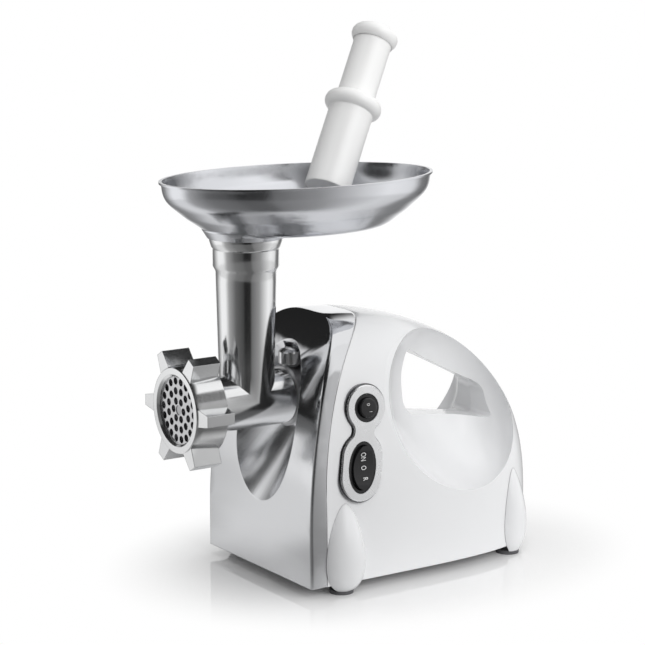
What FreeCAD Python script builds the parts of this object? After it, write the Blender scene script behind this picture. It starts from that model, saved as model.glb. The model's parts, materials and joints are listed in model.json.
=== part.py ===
"""Electric meat grinder: body, head, tray, pusher, gear train, motor and switches.

The frame: +Z up, the floor at z = 0, the mincing head faces -Y and the switches are on +X.
Places along Y are measured from the hopper's upright axis unless a comment says otherwise.
"""
import FreeCAD, Part
import Sketcher
import math
import os

from FreeCAD import Placement, Rotation, Vector

SIZES = {
    # the whole object
    "hopper_y": -94.5,           # the hopper's axis, from the middle of the length
    "barrel_height": 151.0,      # the barrel's axis above the floor
    "body_width": 160.0,
    "crest_height": 219.5,
    "crest_setback": 70.0,       # where the back's curve starts to fall
    "rear_setback": 261.0,
    "front_setback": 10.3,
    "front_upright": 50.0,       # how high the fascia stands upright before it sweeps back
    "front_sweep": 85.5,         # the quarter ellipse of that sweep: its depth
    "front_rise": 185.0,         # and its height
    "front_edge": 2.5,           # the rounding of the fascia's front edge
    "base_clearance": 8.6,
    "pivot_depth": 40.0,         # the centre of the back's curve, below the floor
    "rump_radius": 120.0,        # the tighter curve behind the handle
    "arch_fullness": 3.6,        # power of the body's arched cross-section
    "handle_thinning": 1.4,      # how much rounder that section is over the handle
    "wall": 3.0,
    # the seam between the fascia and the white shells
    "seam_setback": 26.0,
    "seam_sweep": 82.0,
    "seam_foot": 80.0,
    "seam_rise": 141.0,
    # side scoops and hand hole
    "scoop_setback": 158.8,
    "scoop_height": 139.4,
    "scoop_offset": 88.0,
    "scoop_depth": 80.0,
    "scoop_long": 82.2,
    "scoop_short": 62.9,
    "scoop_tilt": 48.5,
    "hole_front": 139.0,
    "hole_rear": 214.0,
    "hole_floor": 126.0,
    "handle_thickness": 25.0,
    "hole_corner": 9.0,
    # the recess in the fascia
    "recess_foot": 65.5,
    "recess_waist": 125.0,       # the height at which it is widest
    "recess_head": 197.0,
    "recess_half_width": 42.5,
    "recess_floor": 50.0,        # its flat back, from the hopper's axis
    "recess_socket_radius": 29.0,
    # the barrel and its nut
    "barrel_diameter": 45.6,
    "barrel_bore": 39.4,
    "thread_diameter": 65.4,
    "ring_front": 68.0,
    "ring_depth": 27.0,
    "ring_lip": 3.5,
    "ring_front_diameter": 69.0,
    "ring_rear_diameter": 76.0,
    "ring_opening": 55.0,
    "lobe_reach": 49.7,
    "lobe_root": 14.0,
    "lobe_tip": 9.0,
    "plate_diameter": 60.0,
    "plate_thickness": 6.0,
    "plate_hole": 6.0,
    "knife_thickness": 7.5,
    "knife_square": 10.0,
    "front_pin": 8.0,
    "flight_diameter": 38.6,
    "core_diameter": 17.0,
    "flight_pitch": 26.0,
    "flight_thickness": 4.0,
    "journal_diameter": 20.0,
    "drive_hex": 12.0,
    "neck_diameter": 43.0,
    "neck_start": 34.5,
    "neck_end": 54.0,
    "bore_end": 38.0,
    "socket_diameter": 51.0,
    # the hopper
    "hopper_top": 286.0,
    "hopper_bore": 42.0,
    "hopper_foot_diameter": 45.6,
    "hopper_head_diameter": 49.6,
    "band_diameter": 54.0,
    "band_height": 25.0,
    "lip_diameter": 59.6,
    # the tray
    "tray_length": 246.0,
    "tray_width": 157.0,
    "tray_offset": 50.7,         # its middle behind the hopper's axis
    "tray_rim": 332.5,
    "tray_floor": 287.4,
    "tray_wall": 1.2,
    "spigot_wall": 1.8,
    # the pusher
    "pusher_diameter": 38.4,
    "pusher_shaft": 74.0,
    "pusher_collar": 46.2,
    "pusher_grip": 33.0,
    "pusher_grip_length": 54.3,
    "pusher_knob": 37.2,
    "collar_thickness": 13.0,
    "pusher_tilt": 33.6,         # how far it leans, standing in the tray
    "pusher_heading": 115.7,     # which way, from +X towards +Y
    "pusher_from_side": 43.0,    # its foot's middle, from the tray's far side
    "pusher_from_middle": 51.35, # and behind the tray's middle
    "pusher_foot": 25.99,        # and above the tray's floor
    # the lock
    "lock_setback": 43.0,
    "lock_diameter": 21.0,
    "lock_height": 191.0,
    "lock_pin": 6.0,
    # the gear train, each place from the hopper's axis
    "gearbox_front": 58.0,
    "gearbox_rear": 99.0,
    "gearbox_wall": 3.0,
    "output_gear_teeth": 43.0,
    "second_gear_teeth": 41.0,
    "first_gear_teeth": 43.0,
    "pinion_teeth": 10.0,
    "output_module": 1.5,
    "second_module": 1.25,
    "first_module": 1.0,
    "second_shaft_x": 12.0,
    "first_shaft_x": -6.0,
    "gear_pin": 6.0,
    "output_shaft_diameter": 26.0,
    # the motor
    "stator_diameter": 72.0,
    "stator_front": 122.0,
    "stator_length": 40.0,
    "armature_diameter": 40.0,
    "motor_shaft": 8.0,
    "motor_rear": 206.0,
    # the switches
    "switch_setback": 59.0,
    "switch_height": 103.0,
    "switch_reach": 78.3,
    "side_lean": 6.9,
    "switch_lean": 9.5,
    "bezel_spacing": 48.3,
    "bezel_upper": 18.5,
    "bezel_lower": 19.5,
    "bezel_stretch": 8.0,
    "bezel_neck": 8.0,
    "bezel_thickness": 2.6,
    "rocker_length": 42.0,
    "rocker_width": 26.0,
    "button_diameter": 23.0,
    "frame_margin": 3.4,         # how far the rocker and button stand inside their dark frames
    "rocker_rise": 3.0,          # how far they stand out of the bezel
    "switch_wall": 2.0,
    "switch_depth": 16.0,        # how deep the switches' housings reach
    # feet
    "foot_height": 82.0,
    "foot_radius": 19.7,
    "foot_inset": 6.3,
    "front_foot_setback": 43.5,
    "rear_foot_radius": 16.0,
    "rear_foot_inset": 20.0,
    "rear_foot_setback": 226.0,
    "pad_radius": 10.0,
    "pad_thickness": 3.0,
    # clearances
    "slide_gap": 0.1,
    "running_gap": 0.05,
    "seat_gap": 0.3,
}

doc = FreeCAD.newDocument("MeatGrinder")
sheet = doc.addObject("Spreadsheet::Sheet", "Sizes")
for row, (name, number) in enumerate(SIZES.items(), start=1):
    sheet.set(f"A{row}", name)
    sheet.set(f"B{row}", str(number))
    sheet.setAlias(f"B{row}", name)
doc.recompute()

PARTS = []


class Size:
    """A number with the sheet expression that it comes from."""

    def __init__(self, value, text):
        self.value = value
        self.text = text

    def join(self, other, sign, value):
        other = as_size(other)
        return Size(value(self.value, other.value), f"({self.text} {sign} {other.text})")

    def __add__(self, other):
        return self.join(other, "+", lambda a, b: a + b)

    def __sub__(self, other):
        return self.join(other, "-", lambda a, b: a - b)

    def __mul__(self, other):
        return self.join(other, "*", lambda a, b: a * b)

    def __truediv__(self, other):
        return self.join(other, "/", lambda a, b: a / b)

    def __radd__(self, other):
        return as_size(other) + self

    def __rsub__(self, other):
        return as_size(other) - self

    def __rmul__(self, other):
        return as_size(other) * self

    def __neg__(self):
        return Size(-self.value, f"(0 - {self.text})")

    def root(self):
        return Size(math.sqrt(self.value), f"sqrt({self.text})")


def as_size(number):
    return number if isinstance(number, Size) else Size(float(number), repr(float(number)))


def size(name):
    return Size(float(sheet.get(name)), f"Sizes.{name}")


def value(name):
    return float(sheet.get(name))


# ---------------------------------------------------------------- drawing helpers

def bind(thing, place, amount):
    thing.setExpression(place, as_size(amount).text)


def make_body(label, x=0, y=None, z=0, turn=None):
    """A body whose own origin stands at (x, y, z); y defaults to the hopper's axis."""
    body = doc.addObject("PartDesign::Body", label)
    body.Label = label
    place = [as_size(part) for part in (x, size("hopper_y") if y is None else y, z)]
    body.Placement = Placement(Vector(*[part.value for part in place]), turn or Rotation())
    for axis, part in zip("xyz", place):
        bind(body, f".Placement.Base.{axis}", part)
    PARTS.append(body)
    return body


def plane_of(body, role):
    return next(item for item in body.Origin.OriginFeatures if item.Role == role)


def arc_middle(start, end, radius, side):
    """The middle point of the short arc from start to end; side 1 bulges to the right of the way."""
    chord = end - start
    half = chord.Length / 2
    rise = radius - math.sqrt(max(radius * radius - half * half, 0.0))
    across = Vector(chord.y, -chord.x, 0).normalize()
    return (start + end) * 0.5 + across * (rise * side)


def draw(body, role, *outlines, offset=0):
    """A sketch of closed outlines, each a circle (x, y, radius) or a list of corners.

    A corner is (x, y), or (x, y, radius, side) where an arc runs to it from the corner before.
    """
    sketch = body.newObject("Sketcher::SketchObject", f"{body.Name}_outline")
    sketch.AttachmentSupport = [(plane_of(body, role), "")]
    sketch.MapMode = "FlatFace"
    if as_size(offset).value:
        bind(sketch, ".AttachmentOffset.Base.z", offset)
    for outline in outlines:
        if isinstance(outline, tuple):
            add_circle(sketch, outline)
        else:
            add_loop(sketch, outline)
    return sketch


def limit(sketch, kind, *where, amount):
    index = sketch.addConstraint(Sketcher.Constraint(kind, *where, amount.value))
    bind(sketch, f"Constraints[{index}]", amount)


def place_point(sketch, edge, end, x, y):
    for kind, amount in (("DistanceX", as_size(x)), ("DistanceY", as_size(y))):
        limit(sketch, kind, -1, 1, edge, end, amount=amount)


def add_circle(sketch, circle):
    x, y, radius = (as_size(part) for part in circle)
    shape = Part.Circle(Vector(x.value, y.value, 0), Vector(0, 0, 1), radius.value)
    edge = sketch.addGeometry(shape, False)
    place_point(sketch, edge, 3, x, y)
    limit(sketch, "Radius", edge, amount=radius)


def add_loop(sketch, corners):
    points = [Vector(as_size(corner[0]).value, as_size(corner[1]).value, 0) for corner in corners]
    edges = []
    for index, corner in enumerate(corners):
        start, end = points[index - 1], points[index]
        if len(corner) == 2:
            edges.append((sketch.addGeometry(Part.LineSegment(start, end), False), False))
            continue
        middle = arc_middle(start, end, as_size(corner[2]).value, corner[3])
        arc = Part.Arc(start, middle, end)
        forward = (middle - start).cross(end - middle).z > 0
        edges.append((sketch.addGeometry(arc, False), not forward))
    for index, (edge, swapped) in enumerate(edges):
        following, next_swapped = edges[(index + 1) % len(edges)]
        last = 1 if swapped else 2
        first = 2 if next_swapped else 1
        sketch.addConstraint(Sketcher.Constraint("Coincident", edge, last, following, first))
        place_point(sketch, edge, last, *corners[index][:2])
        if len(corners[index]) == 4:
            limit(sketch, "Radius", edge, amount=as_size(corners[index][2]))


def feature(body, kind, sketch, **settings):
    made = body.newObject(f"PartDesign::{kind}", f"{body.Name}_{kind}")
    made.Profile = sketch
    for name, setting in settings.items():
        if isinstance(setting, Size):
            setattr(made, name, setting.value)
            bind(made, name, setting)
        else:
            setattr(made, name, setting)
    sketch.Visibility = False
    return made


def pad(body, sketch, length, **settings):
    return feature(body, "Pad", sketch, Length=as_size(length), **settings)


def pocket(body, sketch, length, **settings):
    return feature(body, "Pocket", sketch, Length=as_size(length), **settings)


def pocket_through(body, sketch):
    return feature(body, "Pocket", sketch, Type="ThroughAll", Midplane=True)


def revolve(body, sketch, axis="V_Axis"):
    return feature(body, "Revolution", sketch, ReferenceAxis=(sketch, [axis]), Angle=360.0)


def groove(body, sketch, axis="V_Axis"):
    return feature(body, "Groove", sketch, ReferenceAxis=(sketch, [axis]), Angle=360.0)


def around(body, original, axis_role, count):
    """Repeats the feature evenly round one of the body's own axes."""
    made = body.newObject("PartDesign::PolarPattern", f"{body.Name}_ring")
    made.Originals = [original]
    made.Axis = (plane_of(body, axis_role), [""])
    made.Angle = 360.0
    made.Occurrences = count
    body.Tip = made
    return made


def solid(label, shape):
    """A piece that is worked out from surfaces of its own rather than from sketches."""
    made = doc.addObject("Part::Feature", label)
    made.Label = label
    made.Shape = shape
    PARTS.append(made)
    return made


def tube_along_y(radius, start, end, bore=0.0, x=0.0, z=0.0):
    """A plain cylinder or tube along Y, placed from the hopper's axis."""
    base = Vector(x, value("hopper_y") + start, z)
    made = Part.makeCylinder(radius, end - start, base, Vector(0, 1, 0))
    if bore:
        made = made.cut(Part.makeCylinder(bore, end - start, base, Vector(0, 1, 0)))
    return made


# ---------------------------------------------------------------- the body's outer form

class Outline:
    """The side view of the back: a long arc over the handle, a tighter arc, then an upright line."""

    def __init__(self, inward):
        self.inward = inward
        self.pivot_y = value("hopper_y") + value("crest_setback")
        self.pivot_z = -value("pivot_depth")
        self.crest = value("crest_height") - self.pivot_z
        self.rump = value("rump_radius")
        self.rear_y = value("hopper_y") + value("rear_setback")
        self.rump_dy = self.rear_y - self.rump - self.pivot_y
        self.rump_dz = math.sqrt((self.crest - self.rump) ** 2 - self.rump_dy ** 2)

    def reach(self, angle):
        """How far the outline lies from the pivot in this direction, measured from upright."""
        sine, cosine = math.sin(angle), math.cos(angle)
        if angle <= math.atan2(self.rump_dy, self.rump_dz):
            return self.crest - self.inward
        straight = (self.rear_y - self.inward - self.pivot_y) / sine
        if straight * cosine < self.rump_dz:
            return straight
        along = self.rump_dy * sine + self.rump_dz * cosine
        off = self.rump_dy ** 2 + self.rump_dz ** 2 - along ** 2
        return along + math.sqrt((self.rump - self.inward) ** 2 - off)


def arch_wire(outline, angle, y, half_width):
    """One arched section of the body, in the plane that leans back by the angle from the pivot."""
    reach = outline.reach(angle)
    fullness = value("arch_fullness")
    lean = min(math.degrees(angle) / 65.0, 1.0)
    crown = fullness - value("handle_thinning") * math.sin(math.pi * lean) ** 2
    foot = 20.0
    steps = 9
    spread = math.acos((foot / reach) ** (fullness / 2))
    points = []
    for step in range(-steps, steps + 1):
        turn = spread * step / steps
        x = half_width * math.copysign(abs(math.sin(turn)) ** (2 / crown), turn)
        r = reach * math.cos(turn) ** (2 / fullness)
        points.append(Vector(x, y + r * math.sin(angle), outline.pivot_z + r * math.cos(angle)))
    curve = Part.BSplineCurve()
    curve.interpolate(points)
    return Part.Wire([curve.toShape(), Part.makeLine(points[-1], points[0])])


def body_form(inward=0.0):
    """The body's smooth outside, or its inside when inward is the wall."""
    outline = Outline(inward)
    half_width = value("body_width") / 2 - inward
    y = outline.pivot_y
    wires = [arch_wire(outline, 0.0, y - ahead, half_width) for ahead in (80.0, 40.0)]
    for degrees in range(0, 97, 12):
        wires.append(arch_wire(outline, math.radians(degrees), y, half_width))
    return Part.makeLoft(wires, True, False)


def big_box(y_from, y_to, z_from, z_to, x_from=-200.0, x_to=200.0):
    corner = Vector(x_from, value("hopper_y") + y_from, z_from)
    return Part.makeBox(x_to - x_from, y_to - y_from, z_to - z_from, corner)


def side_prism(points_or_edges, half_width=200.0):
    """A closed wire in the side view, stretched across the whole width."""
    face = Part.Face(Part.Wire(points_or_edges))
    face.translate(Vector(-half_width, 0, 0))
    return face.extrude(Vector(2 * half_width, 0, 0))


def at_side(y, z):
    return Vector(0, value("hopper_y") + y, z)


def front_at(height, inward=0.0):
    """How far behind the hopper's axis the fascia's front lies at this height."""
    sweep, rise = value("front_sweep") - inward, value("front_rise") - inward
    above = max(height - value("front_upright"), 0.0)
    return value("front_setback") + inward + sweep * (1 - math.sqrt(1 - (above / rise) ** 2))


def behind_front(inward=0.0):
    """Everything behind the fascia's front, upright low down and swept back to the crown."""
    sweep, rise = value("front_sweep") - inward, value("front_rise") - inward
    bend = value("front_upright")
    foot = value("front_setback") + inward
    centre = at_side(foot + sweep, bend)
    ellipse = Part.Ellipse(centre + Vector(0, 0, rise), centre + Vector(0, -sweep, 0), centre)
    low, high = at_side(foot, bend), at_side(foot + sweep, bend + rise)
    ends = sorted((ellipse.parameter(low), ellipse.parameter(high)))
    if ends[1] - ends[0] > math.pi:
        ends = [ends[1], ends[0] + 2 * math.pi]
    curve = ellipse.toShape(*ends)
    corners = [high, at_side(400, bend + rise), at_side(400, -50), at_side(foot, -50), low]
    lines = [Part.makeLine(a, b) for a, b in zip(corners, corners[1:])]
    return side_prism(Part.__sortEdges__([curve] + lines))


def ahead_of_seam(gap=0.0):
    """Everything in front of the seam: upright low down, then sweeping back over the shoulder."""
    foot_y = value("seam_setback") - gap
    foot_z = value("seam_foot") + gap
    sweep, rise = value("seam_sweep"), value("seam_rise")
    centre = at_side(foot_y + sweep, foot_z)
    if rise > sweep:
        ellipse = Part.Ellipse(centre + Vector(0, 0, rise), centre + Vector(0, -sweep, 0), centre)
    else:
        ellipse = Part.Ellipse(centre + Vector(0, -sweep, 0), centre + Vector(0, 0, rise), centre)
    low, high = at_side(foot_y, foot_z), at_side(foot_y + sweep, foot_z + rise)
    ends = sorted((ellipse.parameter(low), ellipse.parameter(high)))
    if ends[1] - ends[0] > math.pi:
        ends = [ends[1], ends[0] + 2 * math.pi]
    curve = ellipse.toShape(*ends)
    corners = [high, at_side(foot_y + sweep, 400), at_side(-200, 400), at_side(-200, -50)]
    corners += [at_side(foot_y, -50), low]
    lines = [Part.makeLine(a, b) for a, b in zip(corners, corners[1:])]
    return side_prism(Part.__sortEdges__([curve] + lines))


def scoop(side, grow=0.0):
    """The egg-shaped hollow in one flank, or the same grown by the wall for the shell's inside."""
    stretch = FreeCAD.Matrix()
    stretch.scale(value("scoop_depth") + grow, value("scoop_long") + grow, value("scoop_short") + grow)
    egg = Part.makeSphere(1.0).transformGeometry(stretch)
    centre = Vector(side * value("scoop_offset"), value("hopper_y") + value("scoop_setback"),
                    value("scoop_height"))
    egg.Placement = Placement(centre, Rotation(Vector(1, 0, 0), -value("scoop_tilt")))
    return egg


def hand_hole(grow=0.0):
    """The hole under the handle; its roof keeps the handle's thickness below the crest's curve."""
    pivot = at_side(value("crest_setback"), -value("pivot_depth"))
    roof = value("crest_height") + value("pivot_depth") - value("handle_thickness") + grow
    front, rear = value("hole_front") - grow, value("hole_rear") + grow
    floor = value("hole_floor") - grow
    block = big_box(front, rear, floor, 400, -60, 60)
    drum = Part.makeCylinder(roof, 120, pivot - Vector(60, 0, 0), Vector(1, 0, 0))
    hole = block.common(drum)
    across = [edge for edge in hole.Edges if edge.BoundBox.XLength > 119]
    return hole.makeFillet(value("hole_corner") + grow, across)


def whole_body():
    """The closed outside of fascia and shells together, scooped and with the hand hole."""
    form = body_form().common(big_box(-100, 400, value("base_clearance"), 300))
    form = form.common(behind_front())
    return form


def cut_grip(form, grow=0.0):
    for side in (1, -1):
        form = form.cut(scoop(side, grow))
    return form.cut(hand_hole(grow))


def recess(grow=0.0):
    """The funnel in the fascia: an egg on the front that narrows to a ring round the head's socket."""
    waist, axis = value("recess_waist"), value("barrel_height")
    half = value("recess_half_width") + grow
    down, up = waist - value("recess_foot") + grow, value("recess_head") + grow - waist
    radius = value("recess_socket_radius") + grow
    floor = value("recess_floor") + grow
    steps, lead = 16, 0.1
    rim, ring = [], []
    for step in range(steps):
        turn = 2 * math.pi * step / steps
        x, z = half * math.sin(turn), math.cos(turn)
        z = waist + z * (up if z > 0 else down)
        edge = at_side(front_at(z), z) + Vector(x, 0, 0)
        back = at_side(floor, axis + radius * math.cos(turn)) + Vector(radius * math.sin(turn), 0, 0)
        rim.append(edge + (edge - back) * lead)
        ring.append(back)
    sections = []
    for points in (rim, ring):
        curve = Part.BSplineCurve()
        curve.interpolate(points, PeriodicFlag=True)
        sections.append(Part.Wire(curve.toShape()))
    funnel = Part.makeLoft(sections, True, True)
    well = Part.makeCylinder(value("lock_diameter") / 2 + 0.6 + grow, value("lock_height") + 3 + grow - axis,
                             at_side(value("lock_setback"), axis))
    return funnel.fuse(well)


def make_fascia(form, inside):
    """The front panel: a thin swept front with rounded edges, and the recess's own wall behind it."""
    wall, gap = value("wall"), value("seat_gap")
    nose = form.common(ahead_of_seam(gap))
    nose = rounded_front(nose)
    shell = nose.cut(inside.common(behind_front(wall)))
    room = body_form(wall + gap).common(behind_front(wall)).common(big_box(0, 90, wall, 300))
    funnel = recess(wall).common(nose.fuse(room))
    shape = shell.fuse(funnel).cut(recess())
    flange = value("socket_diameter") / 2 + 10
    shape = shape.cut(tube_along_y(value("socket_diameter") / 2 + gap, 0, 80, z=value("barrel_height")))
    shape = shape.cut(tube_along_y(flange, value("gearbox_front") - 3.4, 80, z=value("barrel_height")))
    return solid("front_fascia", largest(shape))


def rounded_front(nose):
    """The nose with the edge between its front and its flanks rounded."""
    edges = []
    for edge in nose.Edges:
        box = edge.BoundBox
        middle = edge.valueAt((edge.FirstParameter + edge.LastParameter) / 2)
        ahead = abs(middle.y - value("hopper_y") - front_at(middle.z)) < 0.5
        if ahead and box.ZLength > 20:
            edges.append(edge)
    return nose.makeFillet(value("front_edge"), edges)


def largest(shape):
    return max(shape.Solids, key=lambda item: item.Volume)


def make_shells(form, inside):
    """The two white half shells, split along the middle of the width."""
    shape = cut_grip(form.cut(ahead_of_seam()))
    shape = shape.cut(cut_grip(inside, value("wall")))
    for cut in switch_openings() + [cord_opening()]:
        shape = shape.cut(cut)
    right = shape.common(big_box(-100, 400, -10, 300, 0, 200))
    left = shape.common(big_box(-100, 400, -10, 300, -200, 0))
    for side, post in boss_posts(inside):
        if side > 0:
            right = right.fuse(post)
        else:
            left = left.fuse(post)
    for post in board_posts(inside):
        left = left.fuse(post)
    solid("right_shell", largest(right))
    solid("left_shell", largest(left))


# ---------------------------------------------------------------- switches on the +X flank

def switch_place(up=0.0, out=0.0):
    """A place on the switch panel: local X lies across it, local Y up along it, local Z outward."""
    lean = Rotation(Vector(0, 1, 0), -value("side_lean"))
    outward = lean.multVec(Vector(1, 0, 0))
    upright = lean.multVec(Vector(0, 0, 1))
    tip = Rotation(outward, -value("switch_lean"))
    upward = tip.multVec(upright)
    across = upward.cross(outward)
    turn = Rotation(FreeCAD.Matrix(across.x, upward.x, outward.x, 0, across.y, upward.y, outward.y, 0,
                                   across.z, upward.z, outward.z, 0, 0, 0, 0, 1))
    centre = Vector(value("switch_reach"), value("hopper_y") + value("switch_setback"),
                    value("switch_height"))
    return Placement(centre + upward * up + outward * out, turn)


def figure_eight(grow=0.0):
    """The bezel's outline: a round upper lobe, a stretched lower lobe and a soft neck."""
    upper, lower = size("bezel_upper") + grow, size("bezel_lower") + grow
    neck = size("bezel_neck") - grow
    spacing, stretch = size("bezel_spacing"), size("bezel_stretch")
    gap = spacing - stretch
    high, low = upper + neck, lower + neck
    rise = (low * low - high * high + gap * gap) / (2 * gap)
    across = (low * low - rise * rise).root()
    joint_z = stretch + rise
    low_x, low_z = across * lower / low, stretch + rise * lower / low
    high_x, high_z = across * upper / high, spacing - (spacing - joint_z) * upper / high
    top, foot = spacing + upper, -(stretch + lower)
    return [
        (low_x, low_z, lower, 1), (high_x, high_z, neck, -1), (as_size(0), top, upper, 1),
        (-high_x, high_z, upper, 1), (-low_x, low_z, neck, -1),
        (-lower, stretch, lower, 1), (-lower, -stretch), (as_size(0), foot, lower, 1),
        (lower, -stretch, lower, 1), (lower, stretch),
    ]


def ellipse_wire(half_x, half_y, z=0.0, x=0.0, y=0.0):
    centre = Vector(x, y, z)
    if half_x >= half_y:
        curve = Part.Ellipse(centre + Vector(half_x, 0, 0), centre + Vector(0, half_y, 0), centre)
    else:
        curve = Part.Ellipse(centre + Vector(0, half_y, 0), centre + Vector(-half_x, 0, 0), centre)
    return Part.Wire(curve.toShape())


def oval_prism(half_length, half_width, bottom, top):
    face = Part.Face(ellipse_wire(half_width, half_length, bottom))
    return face.extrude(Vector(0, 0, top - bottom))


def on_panel(shape, up=0.0, out=0.0):
    shape.Placement = switch_place(up, out)
    return shape


def switch_openings():
    """The holes in the right shell that the two switches pass through."""
    gap = value("seat_gap")
    room = value("switch_wall") + 2 * gap
    rocker = oval_prism(value("rocker_length") / 2 + room, value("rocker_width") / 2 + room, -30, 20)
    button = Part.makeCylinder(value("button_diameter") / 2 + room, 50, Vector(0, 0, -30))
    return [on_panel(rocker), on_panel(button, value("bezel_spacing"))]


def outline_wire(corners):
    """The same closed outline that draw() takes, as a plain wire in the XY plane."""
    points = [Vector(as_size(corner[0]).value, as_size(corner[1]).value, 0) for corner in corners]
    edges = []
    for index, corner in enumerate(corners):
        start, end = points[index - 1], points[index]
        if len(corner) == 2:
            edges.append(Part.makeLine(start, end))
        else:
            middle = arc_middle(start, end, as_size(corner[2]).value, corner[3])
            edges.append(Part.Arc(start, middle, end).toShape())
    return Part.Wire(edges)


def make_plinth(skin):
    """The dark seat that fills the space between the bezel and the curved flank."""
    face = Part.Face(outline_wire(figure_eight(1.2)))
    block = on_panel(face.extrude(Vector(0, 0, -16.0))).cut(skin)
    for cut in switch_openings():
        block = block.cut(cut)
    return solid("switch_plinth", largest(block))


def make_bezel():
    """The polished figure-eight frame round both switches."""
    thickness = value("bezel_thickness")
    plate = Part.Face(outline_wire(figure_eight())).extrude(Vector(0, 0, thickness))
    rim = [edge for edge in plate.Edges if edge.BoundBox.ZMin > thickness - 0.01]
    plate = plate.makeChamfer(0.8, rim)
    gap = value("seat_gap")
    rocker = oval_prism(value("rocker_length") / 2 + gap, value("rocker_width") / 2 + gap, -1, 9)
    button = Part.makeCylinder(value("button_diameter") / 2 + gap, 10,
                               Vector(0, value("bezel_spacing"), -1))
    return solid("switch_bezel", on_panel(plate.cut(rocker).cut(button)))


def make_switches():
    """The rocker, an oval island that tips in its housing's dark oval frame."""
    half_length, half_width = value("rocker_length") / 2, value("rocker_width") / 2
    long_in, wide_in = half_length - value("frame_margin"), half_width - value("frame_margin")
    rim = value("bezel_thickness")
    proud = rim + value("rocker_rise")
    island = oval_prism(long_in, wide_in, -7.5, proud)
    bowl_radius = 60.0
    hollow = Part.makeCylinder(bowl_radius, 60, Vector(-30, 0, proud + bowl_radius - 1.6), Vector(1, 0, 0))
    axle = Part.makeCylinder(2.0, 2 * wide_in + 2.6, Vector(-wide_in - 1.3, 0, -4.0), Vector(1, 0, 0))
    solid("rocker", on_panel(island.cut(hollow).fuse(axle)))

    gap = value("seat_gap")
    frame = oval_prism(half_length, half_width, -0.2, rim - 0.4)
    shell = oval_prism(half_length + value("switch_wall"), half_width + value("switch_wall"),
                       -value("switch_depth"), -0.2)
    room = oval_prism(long_in + 3 * gap, wide_in + gap, 2.0 - value("switch_depth"), rim)
    bore = Part.makeCylinder(2.0 + value("running_gap"), 2 * wide_in + 2.8,
                             Vector(-wide_in - 1.4, 0, -4.0), Vector(1, 0, 0))
    solid("rocker_switch_body", on_panel(frame.fuse(shell).cut(room).cut(bore)))


def cord_opening():
    return tube_along_y(9.0, 240, 280, z=34.0)


def make_round_button():
    """The push button over the rocker: a domed cap on a stem, its housing and its spring."""
    outer = value("button_diameter") / 2
    radius = outer - value("frame_margin")
    rim = value("bezel_thickness")
    proud = rim + value("rocker_rise")
    stem = 3.0
    cap = Part.makeCylinder(radius, proud + 3.0, Vector(0, 0, -3.0))
    edge = [item for item in cap.Edges if item.BoundBox.ZMin > rim]
    cap = cap.makeFillet(1.2, edge)
    stem_rod = Part.makeCylinder(stem, 13.0, Vector(0, 0, -16.0))
    solid("round_button", on_panel(cap.fuse(stem_rod), value("bezel_spacing")))

    gap = value("seat_gap")
    frame = Part.makeCylinder(outer, rim - 0.2, Vector(0, 0, -0.2))
    cup = Part.makeCylinder(outer + value("switch_wall"), 20.0, Vector(0, 0, -20.2))
    room = Part.makeCylinder(radius + gap, 9.0 + rim, Vector(0, 0, -9.0))
    bore = Part.makeCylinder(stem + value("slide_gap"), 14.0, Vector(0, 0, -20.2 + 1.2))
    body = frame.fuse(cup).cut(room).cut(bore)
    solid("round_switch_body", on_panel(body, value("bezel_spacing")))

    turns = 3
    wire = 0.45
    coil_radius = stem + 1.6
    spring = Part.makeCylinder(coil_radius + 0.25, 6.0, Vector(0, 0, -9.0))
    spring = spring.cut(Part.makeCylinder(coil_radius - 0.25, 6.0, Vector(0, 0, -9.0)))
    for turn in range(turns):
        height = -9.0 + wire + turn * (6.0 - 2 * wire) / (turns - 1)
        spring = spring.fuse(Part.makeTorus(coil_radius, wire, Vector(0, 0, height)))
    solid("round_button_spring", on_panel(spring, value("bezel_spacing")))


# ---------------------------------------------------------------- the mincing head

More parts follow.
